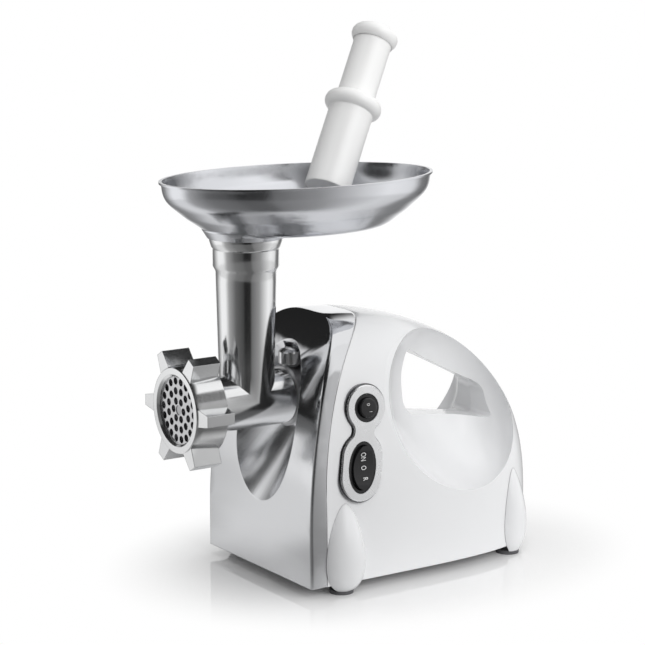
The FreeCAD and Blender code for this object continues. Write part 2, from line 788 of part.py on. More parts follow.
def make_head():
    """The cast head: barrel, threaded mouth, rear neck and the upright hopper tube in one piece."""
    body = make_body("head_casting", z=size("barrel_height"))
    outer, neck = size("barrel_diameter") / 2, size("neck_diameter") / 2
    thread = size("thread_diameter") / 2
    front = -(size("ring_front") - size("ring_lip"))
    mouth_rear = -(size("ring_front") - size("ring_depth") + 1)
    barrel = [
        (front, 0), (front, thread), (mouth_rear, thread), (mouth_rear + 7, outer),
        (size("neck_start"), outer), (size("neck_start"), neck), (size("neck_end"), neck),
        (size("neck_end"), 0),
    ]
    revolve(body, draw(body, "YZ_Plane", barrel), "H_Axis")

    top = size("hopper_top") - size("barrel_height")
    foot, head = size("hopper_foot_diameter") / 2, size("hopper_head_diameter") / 2
    band, lip = size("band_diameter") / 2, size("lip_diameter") / 2
    band_foot = top - size("band_height")
    hopper = [
        (0, 0), (foot, 0), (foot, 24), (head, band_foot - 2.5), (band, band_foot + 2),
        (band, top - 9), (lip - 1.4, top - 7), (lip, top - 2), (lip, top), (0, top),
    ]
    revolve(body, draw(body, "XZ_Plane", hopper))

    bore, plate = size("barrel_bore") / 2, size("plate_diameter") / 2 + size("slide_gap")
    knife_rear = front + size("plate_thickness") + size("knife_thickness") + 1.5
    journal = size("journal_diameter") / 2 + 2
    cavity = [
        (front - 1, 0), (front - 1, plate), (knife_rear, plate), (knife_rear + 7, bore),
        (size("bore_end"), bore), (size("bore_end"), journal), (size("neck_end") + 1, journal),
        (size("neck_end") + 1, 0),
    ]
    groove(body, draw(body, "YZ_Plane", cavity), "H_Axis")

    throat = size("hopper_bore") / 2
    seat = throat + size("spigot_wall") + size("slide_gap") * 2
    spigot_foot = top - size("band_height") + 1
    feed = [
        (0, 0), (throat, 0), (throat, spigot_foot), (seat, spigot_foot), (seat, top + 1),
        (0, top + 1),
    ]
    groove(body, draw(body, "XZ_Plane", feed))

    notch = (0, size("lock_setback"), size("lock_pin") / 2 + size("slide_gap"))
    pocket(body, draw(body, "XY_Plane", notch, offset=neck - 3), 10, Reversed=True)
    return body


def make_ring_nut():
    """The six-winged nut that holds the plate in the head's mouth."""
    body = make_body("ring_nut", z=size("barrel_height"))
    front = -size("ring_front")
    rear = front + size("ring_depth")
    opening = size("ring_opening") / 2
    thread = size("thread_diameter") / 2 + size("slide_gap")
    seat = front + size("ring_lip")
    face, skirt = size("ring_front_diameter") / 2, size("ring_rear_diameter") / 2
    profile = [
        (front, opening + 2), (front + 2, opening), (seat, opening), (seat, thread), (rear, thread),
        (rear, skirt), (front + 2, face + 1), (front, face),
    ]
    revolve(body, draw(body, "YZ_Plane", profile), "H_Axis")
    root, tip = size("lobe_root") / 2, size("lobe_tip") / 2
    reach = size("lobe_reach")
    base = thread + 1
    wing = [
        (reach, -tip), (reach, tip), (face + 1, root), (base, root), (base, -root),
        (face + 1, -root),
    ]
    outline = draw(body, "XZ_Plane", wing, offset=size("ring_front") - size("ring_depth") + 1)
    first = pad(body, outline, size("ring_depth") - 2)
    around(body, first, "Y_Axis", 6)
    return body


def make_plate():
    """The perforated cutting plate, held still by the nut."""
    body = make_body("cutting_plate", z=size("barrel_height"))
    rear = size("ring_front") - size("ring_lip") - size("plate_thickness")
    disc = (0, 0, size("plate_diameter") / 2)
    pad(body, draw(body, "XZ_Plane", disc, offset=rear), size("plate_thickness"))
    pitch = size("plate_hole") + 1.9
    hole = size("plate_hole") / 2
    centre = (0, 0, size("front_pin") / 2 + size("running_gap"))
    pocket_through(body, draw(body, "XZ_Plane", centre))
    for ring, count in ((1, 6), (2, 12), (3, 18)):
        turn = math.radians(15 if ring == 2 else 0)
        start = (pitch * ring * math.cos(turn), pitch * ring * math.sin(turn), hole)
        drilled = pocket_through(body, draw(body, "XZ_Plane", start))
        around(body, drilled, "Y_Axis", count)
    return body


def make_knife():
    """The four-armed cutter that sweeps the back of the plate."""
    body = make_body("cross_knife", z=size("barrel_height"))
    front = size("ring_front") - size("ring_lip") - size("plate_thickness") - 0.2
    rear = front - size("knife_thickness")
    half = size("knife_square") / 2 + size("slide_gap")
    hub = (0, 0, size("knife_square") / 2 + 5.5)
    pad(body, draw(body, "XZ_Plane", hub, offset=rear), size("knife_thickness"))
    reach = size("plate_diameter") / 2 - 1.5
    arm = [(2, -5.5), (reach - 3, -5.5), (reach, -2.5), (reach - 1, 1.5), (10, 5.5), (2, 5.5)]
    outline = draw(body, "XZ_Plane", arm, offset=front - size("knife_thickness") * 0.6)
    first = pad(body, outline, size("knife_thickness") * 0.6)
    around(body, first, "Y_Axis", 4)
    square = [(half, -half), (half, half), (-half, half), (-half, -half)]
    pocket_through(body, draw(body, "XZ_Plane", square))
    return body


def hexagon(across_flats):
    """Corners of a hexagon that stands on a flat."""
    flat = across_flats / 2
    corner = flat * 1.1547005
    return [
        (corner, 0), (corner / 2, flat), (-corner / 2, flat), (-corner, 0), (-corner / 2, -flat),
        (corner / 2, -flat),
    ]


def make_auger():
    """The feed screw: a tapering core with one helical flight, a square nose and a hexagon tail."""
    body = make_body("auger", z=size("barrel_height"))
    plate_rear = -(size("ring_front") - size("ring_lip") - size("plate_thickness"))
    nose = plate_rear + size("knife_thickness") + 0.5
    pin, core = size("front_pin") / 2, size("core_diameter") / 2
    journal = size("journal_diameter") / 2
    tail_start = size("neck_end")
    shaft = [
        (plate_rear - size("plate_thickness") + 0.5, 0), (plate_rear - size("plate_thickness") + 0.5, pin),
        (plate_rear + 0.4, pin), (plate_rear + 0.4, size("knife_square") / 2 * 0.98),
        (nose, size("knife_square") / 2 * 0.98),
        (nose, core), (size("bore_end") - 8, journal + 3), (size("bore_end") - 1.5, journal + 3),
        (size("bore_end") - 1.5, journal), (tail_start, journal), (tail_start, 0),
    ]
    revolve(body, draw(body, "YZ_Plane", shaft), "H_Axis")
    half = size("knife_square") / 2
    square = [(half, -half), (half, half), (-half, half), (-half, -half)]
    pad(body, draw(body, "XZ_Plane", square, offset=-nose), size("knife_thickness") + 0.1)
    tail = draw(body, "XZ_Plane", hexagon(size("drive_hex")), offset=-tail_start)
    pad(body, tail, 16, Reversed=True)
    doc.recompute()
    flight_profile = [
        (-1 * size("flight_thickness") / 2 - 1, core - 2), (size("flight_thickness") / 2 + 1, core - 2),
        (size("flight_thickness") / 2 - 1, size("flight_diameter") / 2),
        (-1 * size("flight_thickness") / 2 + 1, size("flight_diameter") / 2),
    ]
    start = nose + size("flight_thickness") / 2 + 1
    moved = [(start + y, r) for y, r in flight_profile]
    sketch = draw(body, "YZ_Plane", moved)
    helix = body.newObject("PartDesign::AdditiveHelix", "flight")
    helix.Profile = sketch
    helix.ReferenceAxis = (sketch, ["H_Axis"])
    helix.Mode = 0
    bind(helix, "Pitch", size("flight_pitch"))
    helix.Height = 60.0
    bind(helix, "Height", size("bore_end") - 10 - start)
    helix.LeftHanded = True
    return body


def tray_oval(share, z, inset=0.0):
    """An oval across the tray, at this share of its size, drawn in by inset."""
    long_half = value("tray_length") / 2 * share - inset
    short_half = value("tray_width") / 2 * share - inset
    centre = at_side(value("tray_offset"), z)
    oval = Part.Ellipse(centre, long_half, short_half).toShape()
    oval.rotate(centre, Vector(0, 0, 1), 90)
    return Part.Wire([oval])


def make_tray():
    """The oval feed tray: a thin bowl with a rolled rim and a neck into the hopper."""
    rim, floor, wall = value("tray_rim"), value("tray_floor"), value("tray_wall")
    depth = rim - floor
    shares = [
        (0.42, 0.0), (0.60, 0.035), (0.70, 0.12), (0.75, 0.21), (0.82, 0.335),
        (0.888, 0.48), (0.964, 0.68), (0.985, 0.84), (1.0, 1.0),
    ]
    lip = 0.8
    outside = [tray_oval(share, floor + depth * rise, lip) for share, rise in shares]
    inside = [tray_oval(share, floor + wall + depth * rise, lip + wall) for share, rise in shares]
    bowl = Part.makeLoft(outside, True)
    room = Part.makeLoft(inside, True)
    edge = Part.Face(tray_oval(1.0, rim - 1.6)).extrude(Vector(0, 0, 1.6))

    throat = value("hopper_bore") / 2
    spigot = throat + value("spigot_wall")
    top = value("hopper_top")
    shoulder = value("lip_diameter") / 2 + 1.8
    spigot_foot = top - value("band_height") + 1 + value("seat_gap")
    profile = [
        (0, spigot_foot), (spigot, spigot_foot), (spigot, top + 0.05), (shoulder, top + 0.05),
        (shoulder + 4, floor + 5.0), (shoulder + 4, floor + 9.0), (0, floor + 9.0),
    ]
    corners = [Vector(r, 0, z) for r, z in profile]
    neck = Part.Face(Part.makePolygon(corners + corners[:1])).revolve(Vector(), Vector(0, 0, 1), 360)
    neck.translate(at_side(0, 0))
    hole = Part.makeCylinder(throat, 40, at_side(0, spigot_foot - 2))
    return solid("tray", largest(bowl.fuse(edge).fuse(neck).cut(room).cut(hole)))


# ---------------------------------------------------------------- the socket and the lock

def make_socket():
    """The sleeve on the gearbox that takes the head's neck, with the lock's guide on top."""
    body = make_body("head_socket", z=size("barrel_height"))
    outer = size("socket_diameter") / 2
    bore = size("neck_diameter") / 2 + size("slide_gap")
    start, rear = size("neck_start"), size("gearbox_front")
    sleeve = [
        (start, bore), (rear, bore), (rear, outer + 9), (rear - 2.5, outer + 9), (rear - 2.5, outer),
        (start + 1.5, outer), (start, outer - 1.5),
    ]
    revolve(body, draw(body, "YZ_Plane", sleeve), "H_Axis")
    guide = size("lock_diameter") / 2 - 3
    boss_top = size("lock_height") - size("barrel_height") - 7
    boss = (0, size("lock_setback"), guide)
    foot = outer - 3
    pad(body, draw(body, "XY_Plane", boss, offset=foot), boss_top - foot)
    well = (0, size("lock_setback"), guide - 2.5)
    pocket(body, draw(body, "XY_Plane", well, offset=outer + 1.0), 30, Reversed=True)
    shaft = (0, size("lock_setback"), size("lock_pin") / 2 + size("slide_gap"))
    pocket(body, draw(body, "XY_Plane", shaft, offset=bore - 4), 30, Reversed=True)
    return body


def make_lock():
    """The release button over the neck, its pin, the spring round the pin and the spring's lid."""
    button = make_body("lock_button", z=size("barrel_height"), y=size("hopper_y") + size("lock_setback"))
    outer, pin = size("lock_diameter") / 2, size("lock_pin") / 2
    top = size("lock_height") - size("barrel_height")
    socket = size("socket_diameter") / 2
    guide = outer - 3
    ledge = top - 5
    neck = size("neck_diameter") / 2
    cup = [
        (0, neck - 2.6), (pin, neck - 2.6), (pin, socket + 1.4), (guide - 3, socket + 1.4),
        (guide - 3, socket + 2.8), (pin, socket + 2.8), (pin, ledge), (guide + 0.3, ledge),
        (guide + 0.3, socket + 1.2), (outer, socket + 1.2), (outer, top - 4), (outer - 4, top - 0.8, 7.5, 1),
        (0, top),
    ]
    revolve(button, draw(button, "XZ_Plane", cup))
    return button


def make_lock_spring():
    """The coil that pushes the lock's pin down, with the ring that closes its well."""
    guide = value("lock_diameter") / 2 - 3
    axis = at_side(value("lock_setback"), value("barrel_height"))
    low = value("socket_diameter") / 2 + 2.8
    boss_top = value("lock_height") - value("barrel_height") - 7
    lid_foot = boss_top - 1.5
    wire = 0.45
    radius = guide - 2.5 - 0.3 - wire
    spring = Part.makeCylinder(radius + 0.2, lid_foot - low, axis + Vector(0, 0, low))
    spring = spring.cut(Part.makeCylinder(radius - 0.2, lid_foot - low, axis + Vector(0, 0, low)))
    for turn in range(3):
        height = low + wire + turn * (lid_foot - low - 2 * wire) / 2
        spring = spring.fuse(Part.makeTorus(radius, wire, axis + Vector(0, 0, height)))
    solid("lock_spring", spring)
    lid = Part.makeCylinder(guide - 2.5, 1.5, axis + Vector(0, 0, lid_foot))
    lid = lid.cut(Part.makeCylinder(value("lock_pin") / 2 + value("slide_gap"), 3,
                                    axis + Vector(0, 0, lid_foot - 1)))
    solid("lock_lid", lid)


# ---------------------------------------------------------------- the pusher

def make_pusher():
    """The two-diameter pusher, standing in the tray and leaning on its far rim."""
    body = doc.addObject("PartDesign::Body", "pusher")
    body.Label = "pusher"
    PARTS.append(body)
    heading = math.radians(value("pusher_heading"))
    across = Vector(-math.sin(heading), math.cos(heading), 0)
    foot = Vector(-(value("tray_width") / 2 - value("pusher_from_side")),
                  value("hopper_y") + value("tray_offset") + value("pusher_from_middle"),
                  value("tray_floor") + value("pusher_foot"))
    body.Placement = Placement(foot, Rotation(across, value("pusher_tilt")))
    shaft, collar = size("pusher_diameter") / 2, size("pusher_collar") / 2
    grip, knob = size("pusher_grip") / 2, size("pusher_knob") / 2
    seat = size("pusher_shaft")
    thick = size("collar_thickness")
    shoulder = seat + thick
    neck = shoulder + size("pusher_grip_length")
    top = neck + thick
    profile = [
        (0, 0), (shaft - 1, 0), (shaft, 1, 1, 1), (shaft, seat - 1), (shaft + 1, seat, 1, -1),
        (collar - 3, seat), (collar - 3, shoulder, thick * 0.525, 1), (grip + 1.5, shoulder),
        (grip, shoulder + 1.5, 1.5, -1), (grip, neck - 1), (grip + 1, neck, 1, -1), (knob - 3, neck),
        (knob - 3, top, thick * 0.525, 1), (grip - 2, top), (grip - 4, top - 1.5), (0, top - 1.5),
    ]
    revolve(body, draw(body, "XZ_Plane", profile))
    return body


# ---------------------------------------------------------------- the gear train

class Train:
    """Where the three pairs of gears stand, worked out from their modules and teeth."""

    def __init__(self):
        pinion = value("pinion_teeth")
        self.output = (0.0, value("barrel_height"))
        spread = value("output_module") * (value("output_gear_teeth") + pinion) / 2
        second_x = value("second_shaft_x")
        self.second = (second_x, self.output[1] - math.sqrt(spread ** 2 - second_x ** 2))
        first_x = value("first_shaft_x")
        spread = value("second_module") * (value("second_gear_teeth") + pinion) / 2
        drop = math.sqrt(spread ** 2 - (second_x - first_x) ** 2)
        self.first = (first_x, self.second[1] - drop)
        spread = value("first_module") * (value("first_gear_teeth") + pinion) / 2
        self.motor = (0.0, self.first[1] - math.sqrt(spread ** 2 - first_x ** 2))


def heading_of(start, end):
    return math.atan2(end[1] - start[1], end[0] - start[0])


def gear(teeth, module, centre, start, width, facing, bore=0.0, gap_there=False):
    """A spur gear along Y, with a tooth, or a gap, on the line towards facing (radians from +X)."""
    pitch = module * teeth / 2
    base = pitch * math.cos(math.radians(20))
    tip, root = pitch + 0.85 * module, pitch - 1.2 * module
    thin = 0.1 / pitch
    half = math.pi / (2 * teeth) - thin
    inv = math.tan(math.radians(20)) - math.radians(20)

    def flank(radius):
        if radius <= base:
            return half + inv
        roll = math.acos(base / radius)
        return half + inv - (math.tan(roll) - roll)

    foot_turn = min(flank(root), math.pi / teeth - 0.02)
    turns = [(root, foot_turn), (max(base, root + 0.01), min(flank(base), math.pi / teeth - 0.03)),
             (pitch, flank(pitch)), (tip, flank(tip))]
    points = []
    offset = facing + (math.pi / teeth if gap_there else 0.0)
    for tooth in range(int(teeth)):
        middle = offset + 2 * math.pi * tooth / teeth
        for radius, turn in turns:
            points.append((radius, middle - turn))
        for radius, turn in reversed(turns):
            points.append((radius, middle + turn))
    y = value("hopper_y") + start
    corners = [Vector(centre[0] + r * math.cos(a), y, centre[1] + r * math.sin(a)) for r, a in points]
    face = Part.Face(Part.makePolygon(corners + corners[:1]))
    made = face.extrude(Vector(0, width, 0))
    if bore:
        made = made.cut(tube_along_y(bore, start - 1, start + width + 1, x=centre[0], z=centre[1]))
    return made


def make_gears():
    """Output gear on its shaft, two cluster gears on fixed pins, and the motor's pinion."""
    train = Train()
    pinion = value("pinion_teeth")
    pin = value("gear_pin") / 2
    running = value("running_gap")
    front = value("gearbox_front") + value("gearbox_wall") + 1.0
    shaft = value("output_shaft_diameter") / 2
    teeth = value("output_gear_teeth")
    down = heading_of(train.output, train.second)
    output = gear(teeth, value("output_module"), train.output, front, 10, down, bore=shaft)
    for turn in range(5):
        angle = 2 * math.pi * turn / 5
        hole = tube_along_y(4.5, front - 1, front + 11, x=21.5 * math.cos(angle),
                            z=train.output[1] + 21.5 * math.sin(angle))
        output = output.cut(hole)
    solid("output_gear", output)

    second = gear(pinion, value("output_module"), train.second, front - 0.4, 11.5, down + math.pi,
                  gap_there=True)
    turn = heading_of(train.second, train.first)
    big = gear(value("second_gear_teeth"), value("second_module"), train.second, front + 13, 8, turn)
    hub = tube_along_y(6.4, front + 11.1, front + 13, x=train.second[0], z=train.second[1])
    bore = tube_along_y(pin + running, front - 2, front + 30, x=train.second[0], z=train.second[1])
    solid("second_gear", second.fuse(hub).fuse(big).cut(bore))

    first = gear(pinion, value("second_module"), train.first, front + 12.5, 9, turn + math.pi,
                 gap_there=True)
    toward = heading_of(train.first, train.motor)
    big = gear(value("first_gear_teeth"), value("first_module"), train.first, front + 23, 7, toward)
    hub = tube_along_y(5.4, front + 21.5, front + 23, x=train.first[0], z=train.first[1])
    bore = tube_along_y(pin + running, front - 2, front + 40, x=train.first[0], z=train.first[1])
    solid("first_gear", first.fuse(hub).fuse(big).cut(bore))

    rear = value("gearbox_rear")
    for name, place in (("second_gear_pin", train.second), ("first_gear_pin", train.first)):
        solid(name, tube_along_y(pin, value("gearbox_front") + 0.5, rear - 0.5, x=place[0], z=place[1]))
    return train


def make_auger_bush():
    """The plain bearing in the head's neck that the auger's tail turns in."""
    start, end = value("bore_end"), value("neck_end") - 1
    journal = value("journal_diameter") / 2
    gap = value("running_gap")
    solid("auger_bush", tube_along_y(journal + 2 - gap, start, end, bore=journal + gap,
                                     z=value("barrel_height")))


def make_output_shaft():
    """The shaft that drives the auger through a hexagon socket."""
    body = make_body("output_shaft", z=size("barrel_height"))
    radius = size("output_shaft_diameter") / 2
    start = size("neck_end") + 1
    shoulder = size("gearbox_front") + size("gearbox_wall") + 13
    profile = [
        (start, 0), (start, radius), (shoulder, radius), (shoulder, 8), (size("gearbox_rear") - 3, 8),
        (size("gearbox_rear") - 3, 6), (size("gearbox_rear") - 0.5, 6), (size("gearbox_rear") - 0.5, 0),
    ]
    revolve(body, draw(body, "YZ_Plane", profile), "H_Axis")
    socket = draw(body, "XZ_Plane", hexagon(size("drive_hex") + 2 * size("slide_gap")), offset=-start)
    pocket(body, socket, 17, Reversed=False)
    return body


def case_discs(train, trim):
    """Round rooms for the gears, joined into one case; trim is taken off every radius."""
    module = (value("output_module"), value("second_module"), value("first_module"))
    teeth = (value("output_gear_teeth"), value("second_gear_teeth"), value("first_gear_teeth"))
    places = (train.output, train.second, train.first)
    radii = [m * (n + 2) / 2 + 4.2 for m, n in zip(module, teeth)]
    discs = [(place, radius - trim) for place, radius in zip(places, radii)]
    return discs + [(train.motor, 20.0 - trim)]


def case_block(discs, start, end):
    block = None
    for (x, z), radius in discs:
        disc = tube_along_y(radius, start, end, x=x, z=z)
        block = disc if block is None else block.fuse(disc)
    return block.removeSplitter()


def make_gearbox(train):
    """The cast gear case, its cover, the output bush and the screws that close it."""
    front, rear, wall = value("gearbox_front"), value("gearbox_rear"), value("gearbox_wall")
    seam = rear - wall
    floor = value("base_clearance") + value("wall")
    pin = value("gear_pin") / 2
    outer = case_block(case_discs(train, 0.0), front, seam)
    foot = big_box(front, seam, floor, train.motor[1] - 12, -16, 16)
    case = outer.fuse(foot).cut(case_block(case_discs(train, wall), front + wall, seam + 1))
    cover = case_block(case_discs(train, 0.0), seam, rear)
    shaft = value("output_shaft_diameter") / 2
    bush_hole = shaft + 3.0
    case = case.cut(tube_along_y(bush_hole, front - 1, front + wall + 1, z=train.output[1]))
    for place in (train.second, train.first):
        hole = tube_along_y(pin, front - 1, rear + 1, x=place[0], z=place[1])
        case, cover = case.cut(hole), cover.cut(hole)
    cover = cover.cut(tube_along_y(6 + value("running_gap"), seam - 1, rear + 1, z=train.output[1]))
    cover = cover.cut(tube_along_y(value("motor_shaft") / 2 + 4, seam - 1, rear + 1, z=train.motor[1]))
    screws = []
    for x, z in screw_spots(train):
        lug = tube_along_y(5.0, seam - 12, seam, x=x, z=z)
        case = case.fuse(lug.cut(case_block(case_discs(train, wall), front + wall, seam)))
        case = case.cut(tube_along_y(1.7, seam - 10, seam + 1, x=x, z=z))
        cover = cover.fuse(tube_along_y(5.0, seam, rear, x=x, z=z))
        cover = cover.cut(tube_along_y(1.7, seam - 1, rear + 1, x=x, z=z))
        screw = tube_along_y(1.6, rear - 12, rear, x=x, z=z)
        screws.append(screw.fuse(tube_along_y(3.0, rear, rear + 2, x=x, z=z)))
    solid("gearbox_housing", largest(case))
    solid("gearbox_cover", largest(cover))
    solid("gearbox_screws", Part.makeCompound(screws))
    bush = tube_along_y(bush_hole - 0.05, front + 0.2, front + wall, bore=shaft + value("running_gap"),
                        z=train.output[1])
    solid("output_bush", bush)


def screw_spots(train):
    """Lugs for the cover's screws, on the rim of the case."""
    discs = case_discs(train, -2.0)
    (ox, oz), output = discs[0]
    (sx, sz), second = discs[1]
    (fx, fz), first = discs[2]
    angle = math.radians(50)
    spots = [(ox + output * math.cos(angle), oz + output * math.sin(angle)),
             (ox - output * math.cos(angle), oz + output * math.sin(angle)),
             (ox - output * math.cos(angle), oz - output * math.sin(angle))]
    spots.append((sx + second * math.cos(-0.2), sz + second * math.sin(-0.2)))
    spots.append((fx - first * math.cos(0.2), fz - first * math.sin(0.2)))
    return spots


# ---------------------------------------------------------------- the motor

def make_motor(train):
    """The brushed motor: field stack and coils, armature on its shaft, fan, brushes and brackets."""
    x, z = train.motor
    radius = value("stator_diameter") / 2
    front = value("stator_front")
    rear = front + value("stator_length")
    air = value("armature_diameter") / 2 + 0.6
    stack = tube_along_y(radius, front, rear, bore=air, x=x, z=z)
    coils = []
    for side in (1, -1):
        low, high = sorted((z + side * (air + 0.8), z + side * (air + 7.6)))
        room = big_box(front - 1, rear + 1, low - 0.1, high + 0.1, x - 18.1, x + 18.1)
        pole = big_box(front - 2, rear + 2, low - 1, high + 1, x - 9, x + 9)
        stack = stack.cut(room.cut(pole))
        coil = big_box(front - 5, rear + 5, low, high, x - 18, x + 18)
        coils.append(coil.cut(big_box(front - 0.2, rear + 0.2, low - 1, high + 1, x - 9.2, x + 9.2)))
    bolts = [(x + 30.5 * cx, z + 30.5 * cz) for cx, cz in diagonal(38.0)]
    for bx, bz in bolts:
        stack = stack.cut(tube_along_y(2.0, front - 1, rear + 1, x=bx, z=bz))
    solid("stator", largest(stack))
    solid("field_coils", Part.makeCompound(coils))

    armature = value("armature_diameter") / 2
    shaft = value("motor_shaft") / 2
    hole = shaft + value("running_gap")
    core = tube_along_y(armature, front, rear, bore=hole, x=x, z=z)
    slots = 12
    for slot in range(slots):
        cut = big_box(front - 1, rear + 1, z + armature - 4, z + armature + 1, x - 0.9, x + 0.9)
        cut.rotate(Vector(x, 0, z), Vector(0, 1, 0), 360.0 * slot / slots)
        core = core.cut(cut)
    solid("armature_core", core)
    ends = []
    for start, end in ((front - 7, front), (rear, rear + 7)):
        ends.append(tube_along_y(armature - 5, start, end, bore=hole, x=x, z=z))
    solid("armature_windings", Part.makeCompound(ends))
    brush_y = rear + 17
    solid("commutator", tube_along_y(11.0, brush_y - 7, brush_y + 7, bore=hole, x=x, z=z))

    gear_front = value("gearbox_front") + value("gearbox_wall") + 1.0 + 22.5
    end = value("motor_rear")
    toward = heading_of(train.motor, train.first)
    pinion = gear(value("pinion_teeth"), value("first_module"), train.motor, gear_front, 8, toward,
                  gap_there=True)
    rod = tube_along_y(shaft, gear_front + 8, end, x=x, z=z)
    nose = tube_along_y(shaft, gear_front - 2, gear_front, x=x, z=z)
    solid("motor_shaft", pinion.fuse(rod).fuse(nose))
    make_fan(train, front - 12.5, hole)
    make_brushes(train, brush_y)
    make_brackets(train, bolts, front, rear, end)


def diagonal(degrees):
    """The four unit directions at this angle above and below each side."""
    c, s = math.cos(math.radians(degrees)), math.sin(math.radians(degrees))
    return [(c, s), (-c, s), (-c, -s), (c, -s)]


def make_fan(train, start, shaft):
    x, z = train.motor
    reach = 25.5
    fan = tube_along_y(7.0, start - 3, start + 4, bore=shaft, x=x, z=z)
    fan = fan.fuse(tube_along_y(reach, start + 2.8, start + 4, bore=shaft, x=x, z=z))
    for blade in range(9):
        vane = big_box(start - 2.5, start + 3, z + 5, z + reach - 1, x - 0.7, x + 0.7)
        vane.rotate(Vector(x, 0, z + 5), Vector(0, 0, 1), 12.0)
        vane.rotate(Vector(x, 0, z), Vector(0, 1, 0), 360.0 * blade / 9)
        fan = fan.fuse(vane)
    bore = tube_along_y(shaft, start - 6, start + 5, x=x, z=z)
    solid("cooling_fan", fan.cut(bore))


def make_brushes(train, brush_y):
    """Two carbon brushes in brass holders, pressed on the commutator from each side."""
    x, z = train.motor
    brushes, holders = [], []
    for side in (1, -1):
        near, far = x + side * 11.05, x + side * 24
        brushes.append(big_box(brush_y - 3, brush_y + 3, z - 4, z + 4, min(near, far), max(near, far)))
        near, far = x + side * 13.5, x + side * 29
        low, high = min(near, far), max(near, far)
        sleeve = big_box(brush_y - 4.5, brush_y + 4.5, z - 5.5, z + 5.5, low, high)
        holders.append(sleeve.cut(big_box(brush_y - 3, brush_y + 3, z - 4, z + 4, low - 1, x + side * 27.5)
                                  if side > 0 else
                                  big_box(brush_y - 3, brush_y + 3, z - 4, z + 4, x - 27.5, high + 1)))
    solid("carbon_brushes", Part.makeCompound(brushes))
    solid("brush_holders", Part.makeCompound(holders))


def make_brackets(train, bolts, front, rear, end):
    """The two end brackets that hold the bearings, the through bolts and the bearings."""
    x, z = train.motor
    floor = value("base_clearance") + value("wall")
    bearing = 11.0
    shaft = value("motor_shaft") / 2
    ahead = value("gearbox_rear")
    brush_y = rear + 17
    spans = {"front_motor_bracket": (ahead, ahead + 7, front), "rear_motor_bracket": (end - 10, end - 3, rear)}
    for name, (start, stop, stack_end) in spans.items():
        plate = tube_along_y(36.0, start, stop, x=x, z=z)
        plate = plate.fuse(big_box(start, stop, floor, z - 20, x - 22, x + 22))
        low, high = sorted((stack_end, start if name.startswith("rear") else stop))
        for bx, bz in bolts:
            plate = plate.fuse(tube_along_y(4.0, low, high, x=bx, z=bz))
        if name.startswith("rear"):
            for side in (1, -1):
                arm = sorted((x + side * 29, x + side * 24))
                plate = plate.fuse(big_box(brush_y + 4.5, start, z - 5.5, z + 5.5, *arm))
        plate = plate.cut(tube_along_y(bearing, start - 1, stop + 1, x=x, z=z))
        for bx, bz in bolts:
            plate = plate.cut(tube_along_y(2.0, min(low, start) - 1, max(high, stop) + 1, x=bx, z=bz))
        for turn in (0, 90, 180, 270):
            vent = tube_along_y(4.5, start - 1, stop + 1, x=x + 20 * math.cos(math.radians(turn)),
                                z=z + 20 * math.sin(math.radians(turn)))
            plate = plate.cut(vent)
        solid(name, largest(plate))
    rings = []
    for start in (ahead, end - 10):
        rings.append(tube_along_y(bearing, start, start + 7, bore=shaft + value("running_gap"), x=x, z=z))
    solid("motor_bearings", Part.makeCompound(rings))
    rods = []
    for bx, bz in bolts:
        rod = tube_along_y(1.9, ahead, end - 3, x=bx, z=bz)
        rods.append(rod.fuse(tube_along_y(3.5, end - 3, end - 0.5, x=bx, z=bz)))
    solid("motor_screws", Part.makeCompound(rods))


# ---------------------------------------------------------------- base, feet and small parts

def make_base():
    """The base plate that closes the shells from below, with its vents and screws."""
    low, high = value("base_clearance"), value("base_clearance") + value("wall")
    room = value("wall") + value("seat_gap")
    plate = body_form(room).common(behind_front(room)).common(big_box(-50, 400, low, high))
    for row in range(9):
        y = 120 + row * 9
        plate = plate.cut(big_box(y, y + 4, low - 1, high + 1, -24, 24))
    screws = []
    for x, y in boss_spots():
        centre = at_side(y, low) + Vector(x, 0, 0)
        plate = plate.cut(Part.makeCylinder(1.7, 10, centre - Vector(0, 0, 3)))
        shank = Part.makeCylinder(1.4, 14, centre)
        head = Part.makeCylinder(3.2, 2, centre - Vector(0, 0, 2))
        screws.append(shank.fuse(head))
    solid("base_plate", largest(plate))
    solid("base_screws", Part.makeCompound(screws))


def boss_spots():
    half = value("body_width") / 2
    return [(side * (half - inset), y) for y, inset in ((72, 14), (130, 14), (180, 16)) for side in (1, -1)]


def boss_posts(inside):
    """Screw posts inside the shells, each tied to the wall by a rib."""
    low = value("base_clearance") + value("wall")
    posts = []
    for x, y in boss_spots():
        centre = at_side(y, low) + Vector(x, 0, 0)
        side = math.copysign(1, x)
        reach = sorted((x, x + side * 30))
        rib = big_box(y - 1.25, y + 1.25, low, low + 22, *reach).common(inside)
        post = Part.makeCylinder(4.0, 24, centre).fuse(rib)
        posts.append((side, post.cut(Part.makeCylinder(1.5, 14, centre - Vector(0, 0, 1)))))
    return posts


def teardrop(radius, height):
    """One whole foot above its pad, round in plan and pointed at the top."""
    pad_top = value("pad_thickness")
    shares = [(0.84, 0.09), (1.0, 0.34), (0.80, 0.62), (0.36, 0.88)]
    low, tip = Vector(value("pad_radius"), 0, pad_top), Vector(0, 0, height)
    points = [Vector(radius * across, 0, pad_top + (height - pad_top) * up) for across, up in shares]
    curve = Part.BSplineCurve()
    curve.interpolate([low] + points + [tip])
    centre = Vector(0, 0, pad_top)
    edges = [curve.toShape(), Part.makeLine(tip, centre), Part.makeLine(centre, low)]
    return Part.Face(Part.Wire(edges)).revolve(Vector(), Vector(0, 0, 1), 360)


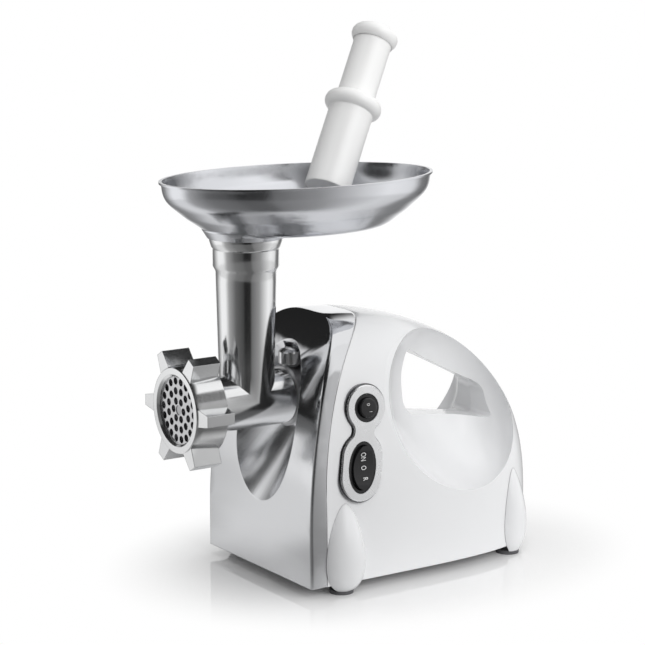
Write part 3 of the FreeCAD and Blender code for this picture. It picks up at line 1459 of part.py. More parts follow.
def make_feet(skin):
    """Four teardrop feet against the body's flanks, each on a rubber pad."""
    half = value("body_width") / 2
    rows = (("front", value("front_foot_setback"), value("foot_inset"), value("foot_radius")),
            ("rear", value("rear_foot_setback"), value("rear_foot_inset"), value("rear_foot_radius")))
    pads = []
    for row, y, inset, radius in rows:
        for name, side in (("right", 1), ("left", -1)):
            place = at_side(y, 0) + Vector(side * (half - inset), 0, 0)
            foot = teardrop(radius, value("foot_height"))
            foot.translate(place)
            solid(f"{row}_{name}_foot", largest(foot.cut(skin)))
            pads.append(Part.makeCylinder(value("pad_radius"), value("pad_thickness"), place))
    solid("foot_pads", Part.makeCompound(pads))


def make_board():
    """The reversing switch's circuit board, stood off the left shell."""
    x = -(value("body_width") / 2 - 16)
    board = big_box(60, 110, 38, 92, x, x + 1.6)
    board = board.fuse(big_box(66, 80, 62, 84, x + 1.6, x + 13))
    capacitor = Part.makeCylinder(6.5, 22, at_side(96, 60) + Vector(x + 7.6, 0, 0))
    board = board.fuse(capacitor).fuse(big_box(70, 90, 43, 53, x + 1.6, x + 9))
    solid("control_board", board)


def board_posts(inside):
    x = -(value("body_width") / 2 - 16)
    posts = []
    for y in (64, 106):
        for z in (42, 88):
            post = Part.makeCylinder(2.5, 40, at_side(y, z) + Vector(x, 0, 0), Vector(-1, 0, 0))
            posts.append(post.common(inside))
    return posts


def make_cord_inlet():
    """The rubber gland in the rear wall where the supply cord enters."""
    body = make_body("cord_inlet", z=34)
    wall = size("rear_setback") - size("wall")
    outside = size("rear_setback")
    profile = [
        (wall - 2.5, 3.6), (outside + 4, 3.6), (outside + 4, 7), (outside + 2.5, 11),
        (outside + 0.3, 11), (outside + 0.3, 8.8), (wall - 0.3, 8.8), (wall - 0.3, 11), (wall - 2.5, 11),
    ]
    revolve(body, draw(body, "YZ_Plane", profile), "H_Axis")
    return body


def finish():
    """Checks every object and writes one file for each piece."""
    doc.recompute()
    for item in doc.Objects:
        if "Invalid" in item.State or "Error" in item.State:
            raise RuntimeError(f"{item.Label} did not build: {item.State}")
    os.makedirs("parts", exist_ok=True)
    for piece in PARTS:
        shape = piece.Shape
        if shape.isNull() or not shape.isValid():
            raise RuntimeError(f"{piece.Label} has no valid shape")
        shape.exportStep(f"parts/{piece.Label}.step")
        print(piece.Label, len(shape.Solids), round(shape.Volume / 1000, 2))




form = whole_body()
inside = body_form(value("wall")).common(big_box(-100, 400, 0, 300))
skin = body_form(-value("seat_gap")).common(big_box(-100, 400, 0, 300))
make_fascia(form, inside)
make_shells(form, inside)
make_plinth(skin)
make_bezel()
make_switches()
make_round_button()
make_head()
make_ring_nut()
make_plate()
make_knife()
make_auger()
make_auger_bush()
make_tray()
make_socket()
make_lock()
make_lock_spring()
make_pusher()
train = make_gears()
make_output_shaft()
make_gearbox(train)
make_motor(train)
make_base()
make_feet(skin)
make_board()
make_cord_inlet()
finish()
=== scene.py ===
"""Looks of the electric meat grinder: finishes, recess, hand hole, letters, light and camera."""

import json
import math

import bmesh
import bpy
from mathutils import Matrix, Vector
from mathutils.bvhtree import BVHTree


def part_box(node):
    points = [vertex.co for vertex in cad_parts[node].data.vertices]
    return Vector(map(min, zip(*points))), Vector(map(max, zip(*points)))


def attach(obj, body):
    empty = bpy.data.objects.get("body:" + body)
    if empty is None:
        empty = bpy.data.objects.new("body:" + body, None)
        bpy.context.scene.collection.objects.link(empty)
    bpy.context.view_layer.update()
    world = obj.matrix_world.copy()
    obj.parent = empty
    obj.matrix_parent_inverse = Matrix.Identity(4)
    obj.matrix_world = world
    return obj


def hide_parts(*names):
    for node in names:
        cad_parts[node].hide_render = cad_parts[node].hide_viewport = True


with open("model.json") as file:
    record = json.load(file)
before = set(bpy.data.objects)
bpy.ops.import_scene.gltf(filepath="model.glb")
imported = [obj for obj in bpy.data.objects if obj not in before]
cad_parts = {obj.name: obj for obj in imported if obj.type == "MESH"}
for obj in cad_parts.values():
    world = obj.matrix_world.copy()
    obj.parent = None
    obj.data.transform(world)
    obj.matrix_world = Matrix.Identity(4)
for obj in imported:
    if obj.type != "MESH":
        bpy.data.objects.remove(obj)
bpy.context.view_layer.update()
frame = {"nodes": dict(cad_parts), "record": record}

BODY_OF = {node: body for body, nodes in frame["record"]["behaviour"]["bodies"].items() for node in nodes}
SLOT_OF = {row["node"]: row["material_slot"] for row in frame["record"]["subparts"]}
MM = 0.001


# ---------------------------------------------------------------- shader expressions

class Wire:
    """One output socket; arithmetic on it adds the Math nodes."""

    def __init__(self, graph, socket):
        self.graph = graph
        self.socket = socket

    def _math(self, operation, other, swap=False):
        pair = [other, self] if swap else [self, other]
        return self.graph.node("ShaderNodeMath", {"operation": operation}, {0: pair[0], 1: pair[1]})

    def __add__(self, other):
        return self._math("ADD", other)

    __radd__ = __add__

    def __mul__(self, other):
        return self._math("MULTIPLY", other)

    __rmul__ = __mul__

    def __sub__(self, other):
        return self._math("SUBTRACT", other)

    def __rsub__(self, other):
        return self._math("SUBTRACT", other, swap=True)

    def __truediv__(self, other):
        return self._math("DIVIDE", other)

    def __pow__(self, other):
        return self._math("POWER", other)


class Graph:
    """A node tree with one method that adds any node."""

    def __init__(self, tree):
        self.tree = tree
        tree.nodes.clear()

    def node(self, kind, settings=None, inputs=None, output=0):
        made = self.tree.nodes.new(kind)
        for name, setting in (settings or {}).items():
            if name == "stops":
                self.fill_ramp(made.color_ramp, setting)
            else:
                setattr(made, name, setting)
        for name, setting in (inputs or {}).items():
            socket = made.inputs[name]
            if isinstance(setting, Wire):
                self.tree.links.new(setting.socket, socket)
            else:
                socket.default_value = setting
        return Wire(self, made.outputs[output]) if len(made.outputs) else made

    @staticmethod
    def fill_ramp(ramp, stops):
        while len(ramp.elements) < len(stops):
            ramp.elements.new(1.0)
        for element, (place, colour) in zip(ramp.elements, stops):
            element.position = place
            element.color = colour if len(colour) == 4 else (*colour, 1.0)

    def place(self):
        return self.node("ShaderNodeTexCoord", output="Object")

    def noise(self, scale, detail=2.0, stretch=(1, 1, 1)):
        stretched = self.node("ShaderNodeMapping", {}, {"Vector": self.place(), "Scale": stretch})
        return self.node("ShaderNodeTexNoise", {}, {"Vector": stretched, "Scale": scale, "Detail": detail})

    def range(self, wire, low, high):
        return self.node("ShaderNodeMapRange", {}, {"Value": wire, "To Min": low, "To Max": high})

    def parts(self, vector):
        """The three axes of a vector as wires."""
        split = self.node("ShaderNodeSeparateXYZ", {}, {"Vector": vector}).socket.node
        return [Wire(self, socket) for socket in split.outputs]

    def ease(self, wire, start, end, low=0.0, high=1.0):
        """Runs smoothly from low to high while the wire goes from start to end."""
        return self.node("ShaderNodeMapRange", {"interpolation_type": "SMOOTHSTEP"},
                         {"Value": wire, "From Min": start, "From Max": end, "To Min": low, "To Max": high})


def finish_material(name, **sockets):
    """A Principled material; sockets given as functions of the graph are built in it."""
    made = bpy.data.materials.new(name)
    made.use_nodes = True
    graph = Graph(made.node_tree)
    inputs = {}
    for socket, setting in sockets.items():
        inputs[socket.replace("_", " ")] = setting(graph) if callable(setting) else setting
    shader = graph.node("ShaderNodeBsdfPrincipled", {}, inputs)
    graph.node("ShaderNodeOutputMaterial", {}, {"Surface": shader})
    return made


def grey(level):
    return (level, level, level, 1.0)


def shade(graph, colour, scale, amount, stretch=(1, 1, 1)):
    """A colour that drifts a little darker and lighter over the surface."""
    patches = graph.noise(scale, 3.0, stretch)
    dark = tuple(part * (1 - amount) for part in colour[:3]) + (1.0,)
    light = tuple(min(part * (1 + amount), 1.0) for part in colour[:3]) + (1.0,)
    inputs = {"Factor": patches, 6: dark, 7: light}
    return graph.node("ShaderNodeMix", {"data_type": "RGBA"}, inputs, output=2)


def spread(graph, low, high, scale, stretch=(1, 1, 1)):
    """A value that wanders between low and high over the surface."""
    return graph.range(graph.noise(scale, 4.0, stretch), low, high)


def rounded(graph, radius, height, distance):
    """A fine relief over edges softened to a radius; at radius 0 the edges stay as they are."""
    soft = {"Normal": graph.node("ShaderNodeBevel", {"samples": 6}, {"Radius": radius})} if radius else {}
    return graph.node("ShaderNodeBump", {}, {"Height": height, "Distance": distance, **soft})


def moulded(name, colour, gloss, coat=0.0, edge=0.5 * MM, grain=0.004 * MM, grain_scale=900.0, drift=0.015):
    """A moulded plastic: colour drift, patchy gloss and the faint ripple of the mould's skin."""
    return finish_material(
        name,
        Base_Color=lambda graph: shade(graph, colour, 22.0, drift),
        Roughness=lambda graph: spread(graph, gloss * 0.85, gloss * 1.2, 60.0),
        Coat_Weight=coat, Coat_Roughness=0.05,
        Normal=lambda graph: rounded(graph, edge, graph.noise(grain_scale, 2.0), grain))


def drawn(name, colour, rough, stretch, edge=0.4 * MM, marks=0.003 * MM, marks_scale=260.0, drift=0.05):
    """A metal whose polishing lines run one way: stretch is large across the lines."""
    return finish_material(
        name,
        Base_Color=lambda graph: shade(graph, colour, 14.0, drift),
        Metallic=1.0,
        Roughness=lambda graph: spread(graph, rough * 0.7, rough * 1.35, marks_scale * 0.4, stretch),
        Normal=lambda graph: rounded(graph, edge, graph.noise(marks_scale, 3.0, stretch), marks))


def turned(name, colour, rough, centre, edge=0.3 * MM, rings=0.002 * MM, rings_scale=1400.0):
    """A sheet metal with lines round an upright axis through centre."""
    def rings_of(graph):
        back = [-part for part in centre]
        moved = graph.node("ShaderNodeMapping", {}, {"Vector": graph.place(), "Location": back})
        across, along, _ = graph.parts(moved)
        away = (across * across + along * along) ** 0.5
        line = graph.node("ShaderNodeCombineXYZ", {}, {"X": away})
        return graph.node("ShaderNodeTexNoise", {}, {"Vector": line, "Scale": rings_scale, "Detail": 3.0})
    return finish_material(
        name,
        Base_Color=lambda graph: shade(graph, colour, 11.0, 0.04),
        Metallic=1.0,
        Roughness=lambda graph: graph.range(rings_of(graph), rough * 0.75, rough * 1.3),
        Normal=lambda graph: rounded(graph, edge, rings_of(graph), rings))


def plated(name, colour, satin=0.2, mirror=0.06, satin_up_to=120 * MM, mirror_from=165 * MM):
    """Plated plastic: satin low on the front, mirror bright on the swept top."""
    def gloss(graph):
        height = graph.parts(graph.place())[2]
        return graph.ease(height, satin_up_to, mirror_from, satin, mirror) * spread(graph, 0.85, 1.15, 70.0)
    return finish_material(
        name,
        Base_Color=lambda graph: shade(graph, colour, 9.0, 0.015),
        Metallic=1.0,
        Roughness=gloss,
        Normal=lambda graph: rounded(graph, 1.3 * MM, graph.noise(420.0, 3.0), 0.001 * MM))


TRAY_LOW, TRAY_HIGH = (Vector(corner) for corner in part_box("tray"))
TRAY_MIDDLE = (TRAY_LOW + TRAY_HIGH) / 2

WHITE = moulded("glossy_white_plastic", (0.83, 0.835, 0.845), 0.17, coat=0.35)
BASE = moulded("matte_base_plastic", (0.62, 0.62, 0.63), 0.5, grain=0.02 * MM)
PANEL = plated("plated_panel", (0.69, 0.695, 0.71))
CAST = drawn("polished_casting", (0.77, 0.775, 0.78), 0.14, (1, 9, 1), edge=0.8 * MM, marks=0.004 * MM)
TRAY = turned("satin_steel", (0.69, 0.7, 0.73), 0.17, TRAY_MIDDLE)
CHROME = drawn("bright_chrome", (0.8, 0.8, 0.81), 0.07, (1, 1, 1), marks=0.001 * MM)
STEEL = drawn("ground_steel", (0.6, 0.6, 0.61), 0.28, (1, 8, 1))
ALLOY = drawn("rough_alloy", (0.5, 0.5, 0.51), 0.42, (1, 1, 1), marks=0.02 * MM)
PUSHER = moulded("satin_white_plastic", (0.9, 0.9, 0.895), 0.36, edge=1.0 * MM)
BEZEL = drawn("satin_bezel", (0.88, 0.885, 0.895), 0.26, (1, 1, 1), edge=0, marks=0.001 * MM, drift=0.02)
RISER = drawn("dark_chrome", (0.2, 0.2, 0.21), 0.1, (1, 1, 1), edge=0, marks=0.001 * MM)
BUTTON = drawn("satin_button", (0.8, 0.8, 0.81), 0.22, (1, 1, 1), edge=1.0 * MM)
BLACK = moulded("black_plastic", (0.012, 0.012, 0.013), 0.2, edge=0.4 * MM, drift=0.2)
RUBBER = moulded("grey_rubber", (0.09, 0.09, 0.095), 0.7, drift=0.1)
BRONZE = drawn("bronze", (0.5, 0.33, 0.15), 0.35, (1, 1, 1))
COPPER = drawn("copper", (0.7, 0.3, 0.15), 0.3, (1, 6, 1))
CARBON = moulded("carbon", (0.02, 0.02, 0.02), 0.6, drift=0.2)
NYLON = moulded("nylon", (0.75, 0.73, 0.65), 0.45)
BOARD = moulded("board", (0.03, 0.16, 0.06), 0.4, drift=0.1)
LETTER = moulded("letter_paint", (0.85, 0.85, 0.85), 0.4)

FINISH = {
    "white_plastic": WHITE, "base_plastic": BASE, "silver_panel": PANEL, "polished_casting": CAST,
    "brushed_tray": TRAY, "chrome": CHROME, "cutter_steel": STEEL, "cast_alloy": ALLOY,
    "pusher_plastic": PUSHER, "black_plastic": BLACK, "rubber": RUBBER, "bronze": BRONZE,
    "copper": COPPER, "laminated_steel": STEEL, "gear_nylon": NYLON, "zinc_steel": STEEL,
    "carbon": CARBON, "board": BOARD,
}
OWN_FINISH = {"switch_bezel": BEZEL, "switch_plinth": RISER, "lock_button": BUTTON}

FLAT_ANGLE, ROUND_ANGLE, PANEL_ANGLE, SHELL_ANGLE = 7, 30, 32, 34   # edges sharper than these stay sharp
SAME_PLACE, SAME_AFTER_CUT = 1e-6, 2e-6    # vertices nearer than these are one


# ---------------------------------------------------------------- pieces

def merged(node):
    """A mesh of the node with its loose triangles joined."""
    mesh = bmesh.new()
    mesh.from_mesh(frame["nodes"][node].data)
    bmesh.ops.remove_doubles(mesh, verts=mesh.verts, dist=SAME_PLACE)
    return mesh


def as_data(mesh, name):
    """Mesh data from an edit mesh, which is freed."""
    data = bpy.data.meshes.new(name)
    mesh.to_mesh(data)
    mesh.free()
    return data


def smoothed(mesh, angle):
    """Smooth faces, with the edges sharper than the angle kept."""
    for face in mesh.faces:
        face.smooth = True
    for edge in mesh.edges:
        if len(edge.link_faces) == 2:
            edge.smooth = edge.calc_face_angle() < math.radians(angle)


def stand_for(node, data):
    """Put a finished mesh in the place of a node."""
    piece = bpy.data.objects.new(f"{node}_finished", data)
    bpy.context.scene.collection.objects.link(piece)
    piece.data.materials.clear()
    piece.data.materials.append(OWN_FINISH.get(node, FINISH[SLOT_OF[node]]))
    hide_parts(node)
    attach(piece, BODY_OF[node])


def smooth_copy(node):
    """The node itself with smooth faces; the flat bezel keeps nearly all of its edges."""
    mesh = merged(node)
    smoothed(mesh, FLAT_ANGLE if node == "switch_bezel" else ROUND_ANGLE)
    stand_for(node, as_data(mesh, f"{node}_finished"))


def convex_block(corners, merge):
    """The convex hull of some places, with those nearer than merge taken as one."""
    hull = bmesh.new()
    for corner in corners:
        hull.verts.new(corner)
    bmesh.ops.remove_doubles(hull, verts=hull.verts, dist=merge)
    bmesh.ops.convex_hull(hull, input=hull.verts[:])
    loose = [vertex for vertex in hull.verts if not vertex.link_faces]
    bmesh.ops.delete(hull, geom=loose, context="VERTS")
    bmesh.ops.recalc_face_normals(hull, faces=hull.faces)
    return hull


def push_out(mesh):
    """Extrude every face of a flat mesh and return the new vertices."""
    grown = bmesh.ops.extrude_face_region(mesh, geom=mesh.faces[:])["geom"]
    return [item for item in grown if isinstance(item, bmesh.types.BMVert)]


def combine(base, tool, operation, solver):
    """Two closed meshes joined, cut or crossed into one."""
    pair = [bpy.data.objects.new("shape", base), bpy.data.objects.new("tool", tool)]
    for thing in pair:
        bpy.context.scene.collection.objects.link(thing)
    step = pair[0].modifiers.new("step", "BOOLEAN")
    step.operation, step.object, step.solver = operation, pair[1], solver
    bpy.context.view_layer.update()
    shape = bpy.data.meshes.new_from_object(pair[0].evaluated_get(bpy.context.evaluated_depsgraph_get()))
    for thing in pair:
        bpy.data.objects.remove(thing)
    return shape


SOCKET_LOW, SOCKET_HIGH = (Vector(corner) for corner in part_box("head_socket"))
BARREL_HEIGHT = (SOCKET_LOW.z + SOCKET_HIGH.z) / 2
LOCK_LOW, LOCK_HIGH = (Vector(corner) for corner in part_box("lock_button"))
RECESS = {"foot": 65.5 * MM, "waist": 125 * MM, "head": 197 * MM, "half": 42.5 * MM, "ring": 29 * MM,
          "floor": -44.5 * MM}
RECESS_WALL = 2 * MM
LINING_LEAD, CUT_LEAD = -0.03, 0.3      # how far past the panel's front, as shares of the funnel's depth
SLEEVE_RADIUS = 25.8 * MM               # the hole for the head's socket
SLEEVE_MIDDLE, SLEEVE_LENGTH = -50 * MM, 60 * MM
LOCK_GAP, LOCK_RISE = 0.6 * MM, 3 * MM  # round and above the lock button
NOSE_HALF, NOSE_FOOT, NOSE_TOP = 60 * MM, 20 * MM, 200 * MM   # the block's back end, behind the panel
NOSE_MERGE, HULL_MERGE = 1e-5, 2e-5     # a convex block takes vertices nearer than this as one
WELL_AHEAD = -400 * MM                  # in front of every piece


def nose_hull():
    """Everything behind the panel's front, as one closed convex block."""
    corners = [vertex.co.copy() for vertex in frame["nodes"]["front_fascia"].data.vertices]
    corners += [Vector((x, 0.0, z)) for x in (-NOSE_HALF, NOSE_HALF) for z in (NOSE_FOOT, NOSE_TOP)]
    return convex_block(corners, NOSE_MERGE)


def recess_funnel(front, grow, lead):
    """The egg-shaped funnel from the panel's front to the ring round the head's socket."""
    funnel = bmesh.new()
    rim = bmesh.ops.create_circle(funnel, cap_ends=True, segments=72, radius=1)["verts"]
    turns = {vertex: (vertex.co.x, vertex.co.y) for vertex in rim}
    back_of = {}
    for vertex, (across, up) in turns.items():
        reach = (RECESS["head"] - RECESS["waist"] if up > 0 else RECESS["waist"] - RECESS["foot"]) + grow
        x, z = (RECESS["half"] + grow) * across, RECESS["waist"] + reach * up
        edge = front.ray_cast(Vector((x, WELL_AHEAD, z)), Vector((0, 1, 0)))[0]
        ring = RECESS["ring"] + grow
        back = Vector((ring * across, RECESS["floor"] + grow, BARREL_HEIGHT + ring * up))
        vertex.co = edge + (edge - back) * lead
        back_of[(round(vertex.co.x, 6), round(vertex.co.z, 6))] = back
    for vertex in push_out(funnel):
        vertex.co = back_of[(round(vertex.co.x, 6), round(vertex.co.z, 6))]
    bmesh.ops.recalc_face_normals(funnel, faces=funnel.faces)
    return as_data(funnel, "funnel")


def lock_well(grow):
    """The upright well that the lock button slides in."""
    well = bmesh.new()
    middle = (LOCK_LOW + LOCK_HIGH) / 2
    radius = (LOCK_HIGH.x - LOCK_LOW.x) / 2 + LOCK_GAP + grow
    top = LOCK_HIGH.z + LOCK_RISE + grow
    bmesh.ops.create_cone(well, cap_ends=True, segments=48, radius1=radius, radius2=radius,
                          depth=top - BARREL_HEIGHT,
                          matrix=Matrix.Translation((middle.x, middle.y, (top + BARREL_HEIGHT) / 2)))
    return as_data(well, "well")


def finish_shape(node, shape, angle):
    """Put a combined shape in the place of its node, with smooth faces."""
    mesh = bmesh.new()
    mesh.from_mesh(shape)
    bmesh.ops.remove_doubles(mesh, verts=mesh.verts, dist=SAME_AFTER_CUT)
    smoothed(mesh, angle)
    stand_for(node, as_data(mesh, node))


def finish_fascia():
    """The front panel with its recess: the panel, the recess's lining and the openings cut through."""
    hull = nose_hull()
    front = BVHTree.FromBMesh(hull)
    lining = combine(recess_funnel(front, RECESS_WALL, LINING_LEAD), lock_well(RECESS_WALL), "UNION", "EXACT")
    lining = combine(lining, as_data(hull, "nose"), "INTERSECT", "EXACT")
    shape = combine(as_data(merged("front_fascia"), "panel"), lining, "UNION", "EXACT")
    sleeve = bmesh.new()
    lying = Matrix.Translation((0, SLEEVE_MIDDLE, BARREL_HEIGHT)) @ Matrix.Rotation(math.pi / 2, 4, "X")
    bmesh.ops.create_cone(sleeve, cap_ends=True, segments=64, radius1=SLEEVE_RADIUS, radius2=SLEEVE_RADIUS,
                          depth=SLEEVE_LENGTH, matrix=lying)
    for hollow in (recess_funnel(front, 0.0, CUT_LEAD), lock_well(0.0), as_data(sleeve, "sleeve")):
        shape = combine(shape, hollow, "DIFFERENCE", "EXACT")
    finish_shape("front_fascia", shape, PANEL_ANGLE)


# The hollow is an ellipsoid, made fuller where fullness is over 2. Its middle lies at offset, back and
# height. Its half axes are depth inwards, and long and short, of which the long one slopes down towards the
# back by tilt degrees. Past shallow it leans, by sweep back and by rise up for each length inwards.
GRIP = {"height": 139.4 * MM, "back": 64.3 * MM, "offset": 88 * MM, "depth": 82 * MM, "long": 82.2 * MM,
        "short": 62.9 * MM, "tilt": 48.5, "shallow": 8 * MM, "sweep": 0.46, "rise": 0.1, "fullness": 2.3}
# Back, up and rounding of each corner of the hand hole, in millimetres.
HOLE_CORNERS = {"front_low": (47.5, 125, 18), "front_high": (47.5, 160, 30), "front_top": (52.5, 181, 5),
                "rear_top": (134, 140, 14), "rear_low": (137, 111.5, 4)}
HOLE_MIDDLE = Vector((93 * MM, 146 * MM))
HOLE_DRAFT = 1.14                       # how much wider the tunnel is at its outer end
HOLE_REACH = 95 * MM
HOLE_WALL, HOLLOW_WALL = 2.5 * MM, 11 * MM
MIDDLE_OVERLAP = 0.5 * MM
UNDER_SKIN = 0.997
BLOCK_SIZE = 600 * MM                   # half of it reaches past a shell on every side


def shell_hull(node):
    """The whole form of one shell, as a closed convex block that lies just under its skin."""
    low, high = (Vector(corner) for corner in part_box(node))
    middle = (low + high) / 2
    middle.x = 0.0
    corners = [middle + (vertex.co - middle) * UNDER_SKIN for vertex in frame["nodes"][node].data.vertices]
    return as_data(convex_block(corners, HULL_MERGE), "hull")


def grip_hollow(side, grow):
    """The deep hollow beside the hand hole; it leans back as it deepens."""
    hollow = bmesh.new()
    bmesh.ops.create_uvsphere(hollow, u_segments=72, v_segments=48, radius=1)
    power = 2 / GRIP["fullness"]
    tilt = math.radians(GRIP["tilt"])
    for vertex in hollow.verts:
        inward, across, along = -vertex.co.z, vertex.co.x, vertex.co.y
        away = math.hypot(across, along)
        if away > 1e-6:
            across, along = (part / away * away ** power for part in (across, along))
        inward = math.copysign(abs(inward) ** power, inward) * (GRIP["depth"] + grow)
        across, along = across * (GRIP["long"] + grow), along * (GRIP["short"] + grow)
        lean = max(inward - GRIP["shallow"], 0.0)
        back = GRIP["back"] + across * math.cos(tilt) + along * math.sin(tilt) + lean * GRIP["sweep"]
        up = GRIP["height"] - across * math.sin(tilt) + along * math.cos(tilt) + lean * GRIP["rise"]
        vertex.co = Vector((side * (GRIP["offset"] - inward), back, up))
    if hollow.calc_volume(signed=True) < 0:
        bmesh.ops.reverse_faces(hollow, faces=hollow.faces)
    return as_data(hollow, "hollow")


def round_loop(corners, steps=6):
    """Points round a closed outline, with an arc of its own radius at each corner."""
    points = []
    for index, (corner, radius) in enumerate(corners):
        before = (corners[index - 1][0] - corner).normalized()
        after = (corners[(index + 1) % len(corners)][0] - corner).normalized()
        half = before.angle(after) / 2
        centre = corner + (before + after).normalized() * radius / math.sin(half)
        start = corner + before * radius / math.tan(half) - centre
        end = corner + after * radius / math.tan(half) - centre
        points += [centre + start.lerp(end, step / steps).normalized() * radius for step in range(steps + 1)]
    return points


def hand_tunnel(side, grow):
    """The through hole under the handle, with rounded corners, on one side of the middle."""
    tunnel = bmesh.new()
    corners = []
    for back, up, radius in HOLE_CORNERS.values():
        away = Vector((back * MM, up * MM)) - HOLE_MIDDLE
        corners.append((HOLE_MIDDLE + away * (1 + grow / away.length), radius * MM))
    tunnel.faces.new([tunnel.verts.new((0, point.x, point.y)) for point in round_loop(corners)])
    start = -MIDDLE_OVERLAP if grow == 0 else 0.0
    bmesh.ops.translate(tunnel, verts=tunnel.verts, vec=(side * start, 0, 0))
    outer = push_out(tunnel)
    bmesh.ops.translate(tunnel, verts=outer, vec=(side * (HOLE_REACH - start), 0, 0))
    bmesh.ops.scale(tunnel, verts=outer, vec=(1, HOLE_DRAFT, HOLE_DRAFT),
                    space=Matrix.Translation((0, -HOLE_MIDDLE.x, -HOLE_MIDDLE.y)))
    bmesh.ops.recalc_face_normals(tunnel, faces=tunnel.faces)
    return as_data(tunnel, "tunnel")


def half_space(side):
    """A block that holds everything on one side of the middle."""
    block = bmesh.new()
    bmesh.ops.create_cube(block, size=BLOCK_SIZE, matrix=Matrix.Translation((side * BLOCK_SIZE / 2, 0, 0)))
    return as_data(block, "half")


def finish_shell(node, side):
    """One shell with the deep hollow and the tunnel, each with its own wall inside the shell."""
    shape = as_data(merged(node), "shell")
    lining = combine(grip_hollow(side, HOLLOW_WALL), hand_tunnel(side, HOLE_WALL), "UNION", "MANIFOLD")
    for limit in (shell_hull(node), half_space(side)):
        lining = combine(lining, limit, "INTERSECT", "MANIFOLD")
    shape = combine(shape, lining, "UNION", "MANIFOLD")
    for hollow in (grip_hollow(side, 0.0), hand_tunnel(side, 0.0)):
        shape = combine(shape, hollow, "DIFFERENCE", "MANIFOLD")
    finish_shape(node, shape, SHELL_ANGLE)


SMOOTH = [
    "front_left_foot", "front_right_foot", "rear_left_foot", "rear_right_foot", "head_casting", "ring_nut",
    "tray", "pusher", "lock_button", "switch_bezel", "switch_plinth", "rocker", "round_button", "head_socket",
    "cutting_plate", "auger", "foot_pads", "cord_inlet", "base_plate", "cross_knife",
]
for node in SMOOTH:
    smooth_copy(node)
finish_fascia()
finish_shell("right_shell", 1)
finish_shell("left_shell", -1)
for node, thing in frame["nodes"].items():
    if node not in SMOOTH:
        for slot in thing.material_slots:
            slot.material = FINISH[SLOT_OF[node]]


CAP_HEIGHT = 0.72                       # of the lettering's own size
LETTER_NARROW = 0.66
LETTER_LIFT = 0.55 * MM
FACE_DEPTH = 2.5 * MM                   # how far below its top a switch piece's face reaches
ROCKER_LETTER, BUTTON_LETTER = 5 * MM, 3 * MM
ROCKER_STEP, BUTTON_STEP = 9 * MM, 3 * MM   # from the middle of the face to the outer letters
OVER_FACE = 20 * MM                     # where the rays that lay the letters down start


def face_of(node):
    """The outward direction and centre of a switch piece's visible face."""
    outward = Vector((0, 0, 0))
    for face in frame["nodes"]["switch_bezel"].data.polygons:
        if face.normal.x > 0.9:
            outward += face.normal * face.area
    outward.normalize()
    corners = [vertex.co for vertex in frame["nodes"][node].data.vertices]
    reach = max(corner.dot(outward) for corner in corners)
    near = [corner for corner in corners if corner.dot(outward) > reach - FACE_DEPTH]
    low = Vector([min(corner[axis] for corner in near) for axis in range(3)])
    high = Vector([max(corner[axis] for corner in near) for axis in range(3)])
    return outward, (low + high) / 2


def sign(name, text, node, height, down, aside=0.0):
    """Painted letters that read downwards, laid on the face of a switch piece."""
    outward, centre = face_of(node)
    backward = Vector((0, 1, 0))
    downward = backward.cross(outward).normalized()
    if downward.z > 0:
        downward = -downward
    curve = bpy.data.curves.new(name, "FONT")
    curve.body = text
    curve.size = height / CAP_HEIGHT
    curve.align_x = "CENTER"
    curve.resolution_u = 4
    holder = bpy.data.objects.new(f"{name}_outline", curve)
    bpy.context.scene.collection.objects.link(holder)
    flat = bpy.data.meshes.new_from_object(holder)
    bpy.data.objects.remove(holder)
    skin = bmesh.new()
    skin.from_mesh(frame["nodes"][node].data)
    tree = BVHTree.FromBMesh(skin)
    letters = bmesh.new()
    letters.from_mesh(flat)
    for vertex in letters.verts:
        start = centre + downward * (vertex.co.x * LETTER_NARROW + down)
        start += backward * (vertex.co.y - height / 2 + aside)
        hit = tree.ray_cast(start + outward * OVER_FACE, -outward)[0]
        vertex.co = (hit or start) + outward * LETTER_LIFT
    bmesh.ops.recalc_face_normals(letters, faces=letters.faces)
    flip = [face for face in letters.faces if face.normal.dot(outward) < 0]
    bmesh.ops.reverse_faces(letters, faces=flip)
    letters.to_mesh(flat)
    letters.free()
    skin.free()
    piece = bpy.data.objects.new(name, flat)
    bpy.context.scene.collection.objects.link(piece)
    piece.data.materials.clear()
    piece.data.materials.append(LETTER)
    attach(piece, BODY_OF[node])


sign("rocker_on", "ON", "rocker", ROCKER_LETTER, -ROCKER_STEP)
sign("rocker_off", "O", "rocker", ROCKER_LETTER, 0.0)
sign("rocker_reverse", "R", "rocker", ROCKER_LETTER, ROCKER_STEP, aside=0.6 * MM)
sign("button_mark_upper", "O", "round_button", BUTTON_LETTER, -BUTTON_STEP, aside=-0.5 * MM)
sign("button_mark_lower", "I", "round_button", BUTTON_LETTER, BUTTON_STEP, aside=1.5 * MM)


# ---------------------------------------------------------------- camera, floor and light

AZIMUTH, ELEVATION = math.radians(56.23), math.radians(10.82)
DISTANCE = 1.8259                       # metres from the camera to AIM
LENS = 122.8
BACK = Vector((math.sin(AZIMUTH) * math.cos(ELEVATION), -math.cos(AZIMUTH) * math.cos(ELEVATION),
               math.sin(ELEVATION)))
RIGHT = Vector((math.cos(AZIMUTH), math.sin(AZIMUTH), 0))
UP = BACK.cross(RIGHT)
UNDER_HOPPER = Vector((0, -0.0945, 0))
AIM = UNDER_HOPPER + RIGHT * 0.06175 + UP * 0.21192

camera = bpy.data.objects.new("camera", bpy.data.cameras.new("camera"))
bpy.context.scene.collection.objects.link(camera)
camera.data.sensor_width = 36
camera.data.lens = LENS
looking = Matrix((RIGHT, UP, BACK)).transposed().to_4x4()
camera.matrix_world = Matrix.Translation(AIM + BACK * DISTANCE) @ looking
bpy.context.scene.camera = camera


LAMP_AIM = Vector((0, 0, 0.18))


